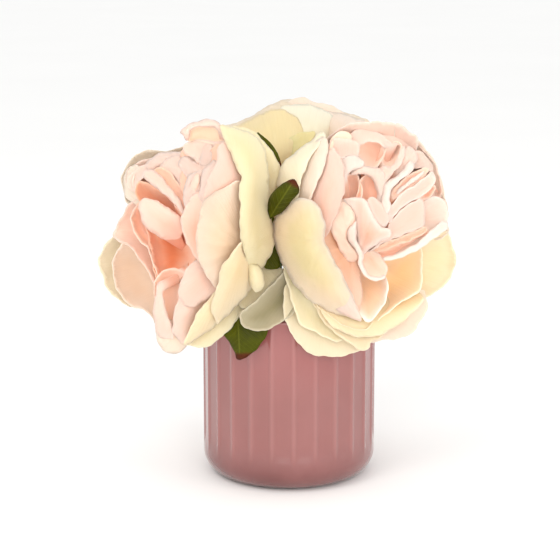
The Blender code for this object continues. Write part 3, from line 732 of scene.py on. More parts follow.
# name, tone, belly (x, z, near), rim [(x, z, near), ...], options
LEFT_PETALS = [
    ("outer_tip", "cream_y", (-19.7, 111.6, 75.0), [(-24.9, 121.4, 70.0), (-21.4, 120.2, 71.0), (-17.3, 118.5, 70.0), (-15.0, 114.4, 68.0), (-14.4, 108.7, 66.0), (-16.2, 104.6, 64.0), (-19.1, 103.5, 65.0), (-22.0, 106.9, 68.0), (-23.7, 113.3, 70.0)], {'furrow': 0.2, 'round_': 0.8}),
    ("outer_top", "cream_y", (-20.2, 156.6, 78.0), [(-39.9, 199.4, 50.0), (-34.1, 199.1, 50.0), (-28.3, 197.7, 50.0), (-22.5, 195.4, 50.0), (-17.9, 192.5, 50.0), (-14.4, 186.7, 51.0), (-12.7, 179.8, 53.0), (-11.6, 168.2, 55.0), (-11.3, 156.6, 56.0), (-10.7, 148.0, 57.0), (-9.2, 140.5, 58.0), (-8.7, 133.5, 59.0), (-9.8, 126.6, 60.0), (-12.7, 121.4, 62.0), (-16.2, 116.8, 64.0), (-20.2, 113.9, 66.0), (-23.7, 118.5, 72.0), (-26.0, 126.6, 80.0), (-28.0, 135.8, 83.0), (-28.6, 143.9, 84.5), (-28.0, 152.0, 84.0), (-28.9, 159.5, 82.0), (-28.3, 165.9, 79.0), (-27.7, 169.9, 76.0), (-30.1, 175.1, 72.0), (-32.9, 181.5, 67.0), (-35.3, 187.3, 62.0), (-38.1, 193.1, 56.0)], {'lip': 0.3, 'round_': 0.9}),
    ("outer_back", "cream_y", (-9.8, 171.1, 44.0), [(-32.9, 198.8, 38.0), (-26.0, 198.8, 36.0), (-20.2, 195.9, 36.0), (-15.6, 191.9, 37.0), (-11.0, 186.1, 38.0), (-6.9, 179.8, 40.0), (-4.6, 174.6, 41.0), (-5.2, 168.2, 42.0), (-8.7, 161.3, 43.0), (-9.8, 148.0, 44.0), (-15.6, 148.0, 46.0), (-17.9, 168.2, 46.0), (-22.5, 185.5, 44.0), (-29.5, 193.6, 40.0)], {}),
    ("guard", "peach_c", (-39.9, 141.6, 83.0), [(-49.1, 156.6, 73.0), (-43.3, 160.7, 75.0), (-37.0, 164.2, 77.0), (-29.5, 167.6, 76.0), (-24.3, 162.4, 70.0), (-22.5, 148.0, 70.0), (-22.5, 133.5, 70.0), (-26.0, 123.1, 70.0), (-32.9, 112.7, 72.0), (-38.7, 104.0, 73.0), (-42.2, 105.2, 75.0), (-46.2, 111.0, 76.5), (-50.3, 117.3, 77.5), (-52.6, 124.3, 78.0), (-53.8, 131.8, 78.0), (-53.2, 139.9, 78.0), (-51.7, 148.0, 76.0)], {'round_': 1.0}),
    ("guard_up", "pink_p", (-37.6, 174.0, 72.0), [(-38.7, 190.2, 57.0), (-34.7, 190.7, 56.0), (-30.6, 184.4, 58.0), (-26.6, 176.9, 60.0), (-22.5, 168.2, 62.0), (-22.5, 156.6, 64.0), (-31.2, 153.7, 66.0), (-42.8, 152.0, 67.0), (-49.7, 153.2, 68.0), (-50.0, 158.4, 69.0), (-49.1, 164.2, 69.0), (-46.8, 169.9, 69.0), (-43.9, 175.1, 68.0), (-41.3, 180.9, 65.0), (-41.6, 185.5, 61.0)], {'round_': 1.0}),
    ("guard_low", "cream_f", (-31.8, 112.7, 84.0), [(-26.3, 132.9, 82.0), (-30.1, 129.5, 84.0), (-33.5, 125.4, 85.0), (-37.6, 120.2, 84.5), (-40.2, 114.4, 83.0), (-41.0, 109.2, 81.0), (-42.2, 104.0, 79.0), (-44.8, 97.7, 75.0), (-45.1, 93.6, 72.5), (-43.3, 89.6, 69.0), (-41.3, 85.0, 64.0), (-37.0, 89.0, 61.0), (-32.4, 93.1, 59.5), (-27.7, 98.3, 58.5), (-22.5, 104.6, 58.0), (-18.5, 109.8, 58.0), (-19.1, 119.1, 62.0), (-22.5, 127.7, 68.0)], {'round_': 1.0, 'lip': 0.5}),
    ("low_yellow", "cream_o", (-49.1, 88.4, 69.0), [(-41.6, 104.6, 69.0), (-45.4, 100.3, 70.0), (-49.1, 96.5, 70.0), (-53.2, 91.0, 69.0), (-56.1, 85.0, 67.0), (-58.7, 78.6, 64.0), (-61.3, 73.1, 61.0), (-57.2, 74.3, 58.5), (-51.4, 77.7, 57.0), (-46.2, 81.2, 56.0), (-41.0, 85.3, 55.5), (-35.3, 91.9, 56.0), (-32.9, 100.6, 60.0), (-36.4, 105.8, 65.0)], {'round_': 1.0}),
    ("low_rim", "cream_g", (-41.0, 81.5, 50.0), [(-60.7, 74.0, 52.0), (-57.2, 72.5, 51.5), (-53.2, 71.4, 51.0), (-48.6, 71.4, 50.5), (-43.3, 74.0, 50.0), (-38.1, 78.3, 49.5), (-33.5, 82.7, 49.0), (-29.5, 87.9, 48.5), (-26.6, 93.1, 48.0), (-24.3, 98.8, 47.0), (-22.0, 105.2, 46.0), (-17.9, 113.3, 44.0), (-25.4, 115.0, 44.0), (-37.0, 104.6, 46.0), (-48.6, 93.1, 48.0), (-57.2, 81.5, 50.0)], {'round_': 1.0, 'lip': 0.6}),
    ("low_pink", "pink_p", (-54.3, 108.1, 70.5), [(-48.6, 126.6, 64.0), (-52.9, 122.5, 66.0), (-57.2, 119.4, 67.0), (-60.7, 114.4, 67.5), (-62.7, 109.2, 67.5), (-63.9, 103.5, 66.5), (-62.4, 98.3, 65.0), (-59.0, 95.1, 64.5), (-54.3, 95.4, 66.0), (-49.1, 98.0, 67.0), (-45.1, 100.9, 68.0), (-39.9, 105.8, 68.0), (-38.7, 113.3, 66.0), (-43.3, 122.0, 64.0)], {'ruf': 0.5, 'round_': 1.0}),
    ("low_pink_b", "pink_w", (-59.5, 88.4, 61.0), [(-62.4, 103.5, 58.0), (-64.2, 99.4, 59.5), (-65.9, 93.6, 59.0), (-67.0, 87.3, 57.5), (-67.3, 80.9, 55.5), (-64.7, 77.2, 54.0), (-61.3, 73.1, 53.0), (-57.2, 75.1, 53.0), (-53.2, 84.4, 55.0), (-49.1, 93.1, 58.0), (-48.0, 100.0, 60.0), (-54.3, 103.5, 60.0)], {'ruf': 0.6, 'round_': 1.0}),
    ("hang", "cream_p", (-68.2, 75.1, 52.0), [(-77.2, 82.1, 47.0), (-76.3, 77.5, 47.5), (-75.4, 74.0, 47.0), (-72.8, 69.6, 46.0), (-67.6, 67.9, 46.0), (-61.8, 69.6, 46.5), (-58.7, 73.1, 47.0), (-57.2, 79.2, 48.0), (-60.7, 85.0, 49.0), (-67.6, 87.3, 49.0), (-74.0, 86.1, 48.0)], {'round_': 0.9}),
    ("hang_l", "pink_w", (-75.1, 91.9, 51.5), [(-75.1, 109.2, 46.0), (-76.6, 104.6, 47.5), (-77.7, 98.8, 48.5), (-78.3, 92.5, 49.0), (-77.7, 86.7, 49.0), (-76.9, 80.9, 49.0), (-74.0, 77.5, 50.0), (-69.9, 76.3, 52.0), (-66.5, 76.9, 53.5), (-67.3, 82.7, 53.5), (-69.6, 89.6, 52.5), (-71.7, 95.4, 51.5), (-72.8, 101.1, 50.0), (-72.2, 107.5, 47.0)], {'ruf': 0.4}),
    ("hang_in", "orange_p", (-67.6, 95.9, 40.0), [(-76.9, 111.6, 40.0), (-77.5, 98.8, 42.0), (-75.7, 86.1, 45.0), (-71.1, 79.2, 47.0), (-65.3, 76.9, 49.0), (-61.8, 81.5, 50.0), (-60.7, 98.8, 50.0), (-59.5, 113.3, 46.0), (-67.6, 117.3, 40.0)], {'ruf': 0.9}),
    ("far_b", "tan_in", (-86.1, 107.5, 5.0), [(-94.8, 131.8, 12.0), (-98.3, 128.9, 12.0), (-101.1, 123.7, 12.0), (-102.0, 117.3, 12.5), (-101.1, 110.4, 13.5), (-98.5, 103.5, 15.5), (-94.8, 98.3, 18.0), (-90.2, 95.1, 21.0), (-85.0, 93.3, 24.0), (-80.9, 91.0, 27.0), (-78.0, 87.3, 30.0), (-75.7, 81.5, 34.0), (-71.1, 81.5, 36.0), (-71.1, 98.8, 22.0), (-75.7, 110.4, 10.0), (-83.2, 124.8, 8.0)], {'lip': 1.0}),
    ("far_a", "cream_y2", (-98.8, 116.2, -6.0), [(-95.4, 138.1, 2.0), (-101.7, 135.3, 0.0), (-106.4, 130.3, -1.0), (-110.1, 122.5, 0.0), (-109.0, 116.2, 1.0), (-106.9, 110.4, 3.0), (-105.2, 105.8, 5.0), (-101.7, 101.1, 8.0), (-97.1, 98.5, 11.0), (-91.3, 94.5, 15.0), (-86.1, 98.8, 0.0), (-87.3, 116.2, -10.0), (-89.6, 130.6, -8.0)], {'lip': 0.8, 'tail': False}),
    ("far_c", "pink_p", (-89.6, 138.1, 3.0), [(-85.5, 157.8, 13.0), (-89.6, 155.8, 11.0), (-93.1, 153.7, 8.0), (-96.5, 147.4, 6.0), (-100.0, 140.5, 5.0), (-102.3, 135.8, 5.0), (-97.7, 132.7, 10.0), (-91.9, 129.2, 15.0), (-87.3, 123.7, 20.0), (-82.7, 116.8, 26.0), (-79.2, 111.0, 30.5), (-75.7, 105.8, 34.0), (-69.9, 108.1, 30.0), (-73.4, 120.8, 14.0), (-78.0, 130.6, 8.0), (-82.1, 140.5, 6.0), (-83.8, 150.9, 9.0)], {'ruf': 0.6, 'lip': 0.8}),
    ("far_d", "orange_p", (-85.0, 134.7, 15.0), [(-87.3, 153.7, 16.0), (-90.2, 150.3, 15.5), (-91.3, 145.7, 16.0), (-90.2, 139.9, 18.0), (-87.3, 134.7, 20.5), (-84.4, 131.2, 22.5), (-81.8, 128.9, 24.5), (-79.8, 123.7, 28.0), (-77.5, 117.3, 31.0), (-74.6, 110.4, 34.0), (-68.8, 110.4, 30.0), (-71.1, 120.8, 18.0), (-76.9, 131.2, 13.0), (-81.5, 140.5, 12.0), (-84.4, 149.7, 13.0)], {'ruf': 0.6, 'lip': 0.5}),
    ("far_top", "cream_e", (-80.3, 168.2, -14.0), [(-93.1, 154.9, 4.0), (-95.4, 160.7, 0.0), (-96.8, 168.2, -3.0), (-95.4, 174.0, -5.0), (-91.9, 179.2, -6.5), (-87.3, 183.5, -7.0), (-82.1, 185.5, -6.0), (-74.6, 185.0, -4.0), (-67.6, 185.5, -2.0), (-61.8, 187.3, 1.0), (-56.1, 189.0, 5.0), (-50.3, 186.7, 9.0), (-51.4, 171.1, 8.0), (-65.9, 156.6, 6.0), (-83.2, 152.0, 5.0)], {'lip': 0.8}),
    ("far_e", "pink_w", (-81.5, 165.3, 2.0), [(-87.3, 153.2, 10.0), (-91.9, 157.2, 7.0), (-92.8, 162.4, 5.0), (-94.2, 168.2, 3.0), (-93.6, 173.4, 2.0), (-90.2, 176.9, 2.0), (-85.5, 179.2, 2.0), (-79.2, 180.9, 3.0), (-72.8, 180.9, 5.0), (-66.5, 182.1, 8.0), (-61.8, 181.5, 12.0), (-57.2, 174.0, 16.0), (-64.2, 162.4, 14.0), (-77.5, 153.7, 12.0)], {'ruf': 1.0, 'lip': 0.6}),
    ("tip_roll", "pink_w", (-49.7, 201.4, 45.0), [(-63.0, 195.8, 38.0), (-60.7, 198.3, 38.5), (-57.2, 200.6, 39.0), (-52.6, 202.3, 39.5), (-48.0, 203.3, 40.0), (-43.3, 202.7, 41.0), (-39.9, 200.6, 43.0), (-37.6, 197.1, 45.5), (-37.0, 193.1, 47.0), (-39.3, 195.4, 46.0), (-43.3, 198.3, 45.0), (-48.0, 199.1, 44.5), (-53.2, 198.8, 43.5), (-56.6, 197.1, 42.5), (-57.2, 193.6, 42.0), (-59.0, 191.3, 40.5), (-60.7, 193.1, 39.5), (-61.8, 194.5, 38.6)], {'ruf': 0.3, 'furrow': 0.3, 'round_': 0.6, 'lip': 0.3}),
    ("tip_in", "peach_in", (-48.0, 194.8, 38.0), [(-59.5, 194.8, 39.0), (-57.2, 197.7, 40.0), (-52.6, 199.4, 41.0), (-47.4, 200.0, 42.0), (-42.2, 198.8, 44.0), (-37.6, 195.4, 46.0), (-35.8, 190.2, 47.0), (-42.2, 189.6, 45.0), (-48.0, 190.2, 42.0), (-53.2, 190.5, 40.0), (-57.2, 190.2, 38.0)], {'ruf': 0.3}),
    ("tip_low", "pink_w", (-48.0, 187.3, 43.0), [(-60.7, 188.4, 35.0), (-57.2, 190.7, 37.0), (-52.6, 191.6, 40.0), (-47.4, 191.3, 42.0), (-42.2, 190.7, 45.0), (-37.6, 190.7, 48.0), (-36.4, 185.5, 51.0), (-42.2, 179.8, 48.0), (-49.1, 177.4, 44.0), (-56.1, 180.9, 38.0), (-60.7, 184.4, 34.0)], {'ruf': 0.6}),
    ("cup_deep", "cup_grad", (-67.6, 126.6, 20.0), [(-87.9, 153.7, 16.0), (-85.0, 148.0, 17.0), (-82.7, 140.5, 18.0), (-80.9, 133.5, 20.0), (-79.2, 125.4, 24.0), (-78.0, 116.2, 28.0), (-75.7, 106.9, 33.0), (-69.9, 106.4, 37.0), (-64.2, 108.7, 42.0), (-59.0, 114.4, 47.0), (-54.9, 120.2, 53.0), (-53.2, 126.0, 55.0), (-54.9, 131.2, 52.0), (-58.4, 138.1, 46.0), (-60.7, 146.2, 40.0), (-65.3, 149.7, 32.0), (-74.6, 153.7, 22.0), (-82.7, 156.6, 16.0)], {'h0': 42, 'lip': 0.3, 'furrow': 0.8, 'rimw': 0.4}),
    ("cup_e", "cup_e", (-73.4, 147.4, 41.0), [(-86.7, 153.2, 28.0), (-85.5, 156.6, 29.0), (-82.1, 157.9, 31.0), (-76.9, 156.2, 34.5), (-71.1, 153.2, 38.0), (-66.5, 149.7, 41.0), (-62.4, 145.9, 44.0), (-61.3, 140.5, 44.0), (-62.4, 135.8, 42.0), (-67.6, 134.1, 37.0), (-73.4, 134.7, 33.0), (-78.6, 137.6, 30.0), (-82.7, 141.0, 28.0), (-85.5, 146.2, 27.5)], {'h0': 42, 'lip': 0.2, 'furrow': 0.4, 'rimw': 0.25, 'round_': 0.8}),
    ("cup_w", "deep", (-74.6, 157.8, 15.0), [(-88.1, 165.9, 18.0), (-85.0, 167.6, 19.0), (-79.8, 165.3, 21.0), (-74.6, 162.4, 23.0), (-68.8, 158.4, 26.5), (-63.0, 152.6, 31.5), (-58.4, 148.5, 36.0), (-58.4, 142.8, 36.0), (-65.3, 141.6, 31.0), (-74.6, 146.2, 23.0), (-83.8, 152.6, 17.0), (-88.4, 159.5, 16.0)], {'h0': 42, 'rimw': 0.3, 'lip': 0.2}),
    ("cup_f", "pale_f", (-74.6, 168.2, 37.0), [(-83.2, 168.8, 30.0), (-84.1, 171.7, 30.0), (-82.9, 174.0, 30.0), (-80.3, 174.3, 30.5), (-77.5, 173.4, 31.5), (-74.6, 171.1, 33.0), (-71.7, 167.6, 35.0), (-68.2, 163.6, 37.0), (-64.7, 158.9, 40.0), (-61.3, 153.7, 43.0), (-61.3, 149.7, 45.0), (-64.7, 153.2, 42.5), (-68.8, 157.2, 39.5), (-72.8, 160.7, 37.0), (-77.5, 164.2, 34.0), (-80.9, 166.8, 31.5)], {'h0': 42, 'lip': 0.5, 'ruf': 0.3, 'rimw': 1.2}),
    ("cup_o", "orange_d", (-67.6, 165.9, 31.0), [(-78.0, 174.0, 26.0), (-74.6, 175.7, 26.5), (-70.5, 174.0, 28.0), (-67.0, 170.5, 30.5), (-63.6, 165.9, 34.0), (-60.7, 160.7, 38.0), (-59.0, 154.9, 42.0), (-59.5, 149.7, 44.0), (-63.0, 150.9, 41.0), (-67.6, 154.9, 36.0), (-72.2, 161.3, 31.0), (-76.3, 168.2, 27.0)], {'h0': 42, 'lip': 0.3, 'rimw': 0.5}),
    ("cup_g", "pink_w", (-65.3, 176.3, 29.0), [(-74.6, 174.0, 24.0), (-73.4, 178.0, 22.0), (-69.9, 180.9, 21.5), (-65.3, 182.1, 22.5), (-60.7, 180.9, 26.0), (-57.2, 177.4, 30.0), (-55.5, 172.8, 34.0), (-57.2, 167.0, 38.0), (-59.0, 161.3, 40.0), (-60.7, 159.5, 38.0), (-62.4, 164.7, 34.0), (-65.9, 169.4, 30.0), (-69.9, 172.2, 26.5)], {'h0': 38, 'ruf': 0.9, 'lip': 0.8}),
    ("cup_go", "orange_d", (-60.7, 169.4, 37.0), [(-63.0, 165.9, 36.0), (-63.0, 171.1, 34.0), (-60.7, 174.6, 33.5), (-57.8, 175.7, 35.0), (-56.1, 172.8, 37.0), (-57.8, 167.6, 39.0), (-59.5, 162.4, 41.0), (-61.3, 161.3, 39.0)], {'h0': 38, 'ruf': 0.3, 'rimw': 0.4}),
    ("cup_g2", "pink_w", (-67.6, 181.5, 19.0), [(-82.7, 176.3, 12.0), (-80.3, 180.3, 9.0), (-75.7, 183.2, 8.0), (-69.9, 184.4, 9.0), (-64.2, 184.7, 12.0), (-58.4, 183.2, 18.0), (-54.9, 179.8, 25.0), (-57.2, 174.0, 28.0), (-63.0, 176.3, 25.0), (-68.8, 177.4, 21.0), (-74.6, 176.3, 17.0), (-79.2, 172.8, 14.0)], {'h0': 30, 'ruf': 0.9, 'lip': 0.7}),
    ("cup_g3", "pink_w", (-85.5, 172.8, 12.0), [(-93.6, 164.2, 8.0), (-93.1, 169.4, 7.0), (-90.2, 173.4, 7.5), (-86.1, 176.3, 9.0), (-80.9, 177.4, 12.0), (-75.7, 176.9, 16.0), (-73.4, 174.0, 20.0), (-76.9, 171.7, 21.0), (-80.9, 172.2, 20.0), (-84.4, 169.4, 18.0), (-87.3, 165.9, 15.0), (-89.6, 161.3, 12.0)], {'h0': 30, 'ruf': 0.9, 'lip': 0.7}),
    ("cup_g4", "cream_p", (-91.3, 164.7, 7.0), [(-95.4, 162.4, 1.0), (-95.4, 169.4, 0.0), (-93.1, 174.6, 0.5), (-89.0, 177.4, 2.0), (-86.1, 175.1, 5.0), (-89.0, 170.5, 8.0), (-89.6, 164.7, 10.0), (-87.9, 158.9, 12.0), (-86.7, 154.9, 13.0), (-90.7, 155.5, 10.0), (-93.6, 157.8, 5.0)], {'h0': 26, 'ruf': 0.7, 'lip': 0.8}),
    ("cup_h", "pink_w", (-57.2, 164.7, 54.0), [(-60.7, 156.1, 48.0), (-61.0, 161.8, 47.0), (-59.8, 167.0, 46.5), (-57.2, 171.1, 46.5), (-53.8, 173.1, 49.0), (-50.3, 174.0, 52.0), (-49.1, 169.4, 55.0), (-50.3, 163.6, 57.0), (-53.2, 158.9, 57.0), (-56.6, 154.9, 54.0), (-59.5, 152.0, 51.0)], {'h0': 36, 'lip': 0.6, 'rimw': 1.2}),
    ("cup_hi", "pink_d2", (-54.9, 165.9, 57.0), [(-57.8, 161.3, 54.0), (-57.2, 165.9, 53.5), (-55.5, 169.9, 53.5), (-52.6, 172.2, 55.0), (-51.4, 168.8, 57.5), (-52.6, 164.2, 58.0), (-54.9, 160.1, 57.0)], {'h0': 36, 'lip': 0.2, 'rimw': 0.2, 'ruf': 0.2}),
    ("cup_h1", "pink_w", (-48.0, 172.8, 62.0), [(-52.0, 162.4, 57.0), (-51.4, 168.2, 56.0), (-49.7, 173.4, 55.0), (-46.8, 176.9, 55.0), (-43.3, 179.8, 56.0), (-40.5, 177.4, 60.0), (-42.8, 171.7, 64.0), (-45.7, 164.7, 66.0), (-48.0, 156.6, 66.0), (-50.9, 154.3, 63.0), (-52.6, 157.8, 60.0)], {'h0': 34, 'lip': 0.5, 'rimw': 1.0}),
    ("cup_h2", "pink_d2", (-56.6, 141.6, 65.0), [(-53.8, 161.3, 58.0), (-57.2, 157.2, 58.0), (-60.1, 152.6, 58.0), (-61.8, 148.0, 59.0), (-62.4, 143.9, 59.5), (-61.6, 138.7, 60.5), (-59.5, 133.5, 62.5), (-57.2, 128.6, 65.0), (-54.3, 123.7, 68.0), (-49.7, 120.8, 71.0), (-46.8, 133.5, 73.0), (-46.8, 148.0, 70.0), (-48.0, 157.8, 65.0), (-50.3, 162.4, 61.0)], {'h0': 34, 'lip': 0.5, 'round_': 0.9, 'rimw': 0.9}),
    ("cup_top1", "orange_d", (-55.5, 183.8, 31.0), [(-63.0, 182.1, 24.0), (-61.3, 186.1, 24.0), (-57.2, 188.4, 26.0), (-53.2, 188.4, 29.0), (-49.7, 185.5, 33.0), (-48.0, 181.5, 37.0), (-49.1, 177.4, 39.0), (-52.6, 178.0, 37.0), (-56.6, 181.5, 31.0), (-60.7, 181.5, 27.0)], {'h0': 30, 'ruf': 0.4, 'rimw': 0.4}),
    ("cup_top2", "pink_w", (-56.1, 178.0, 39.0), [(-64.2, 177.4, 30.0), (-61.3, 181.5, 29.0), (-57.8, 181.2, 32.0), (-54.3, 179.2, 36.0), (-50.9, 177.4, 40.0), (-46.8, 178.0, 44.0), (-43.9, 180.9, 47.0), (-42.2, 178.0, 51.0), (-44.5, 174.0, 52.0), (-49.1, 171.7, 50.0), (-53.8, 169.4, 46.0), (-57.2, 170.5, 42.0), (-60.7, 172.8, 35.0)], {'h0': 30, 'ruf': 0.6, 'lip': 0.8, 'rimw': 1.1}),
    ("cup_top3", "pink_w", (-48.6, 182.6, 44.0), [(-51.4, 178.6, 42.0), (-50.9, 183.8, 40.0), (-51.4, 187.8, 37.5), (-48.6, 189.6, 39.0), (-45.1, 189.0, 43.0), (-43.9, 184.4, 46.0), (-44.5, 179.2, 48.0), (-47.4, 175.1, 47.0)], {'h0': 30, 'ruf': 0.4, 'rimw': 1.1}),
    ("cup_top4", "orange_d", (-43.3, 181.5, 48.0), [(-46.2, 176.3, 48.0), (-46.2, 182.6, 46.0), (-44.5, 186.7, 45.5), (-41.0, 189.0, 48.0), (-38.1, 185.5, 52.0), (-39.9, 179.8, 54.0), (-41.6, 175.1, 55.0), (-44.5, 173.4, 53.0)], {'h0': 30, 'ruf': 0.4, 'rimw': 0.4}),
    ("low_cream_u", "cream_g", (-17.9, 103.5, 50.0), [(-21.4, 117.3, 46.0), (-15.6, 117.9, 45.0), (-9.2, 117.9, 44.0), (-2.9, 116.8, 44.0), (-5.8, 112.1, 46.0), (-10.4, 107.5, 48.0), (-15.0, 102.3, 50.5), (-19.1, 97.7, 52.5), (-24.3, 94.2, 54.0), (-28.3, 95.4, 52.0), (-28.3, 104.6, 48.0)], {'rimw': 0.9}),
]

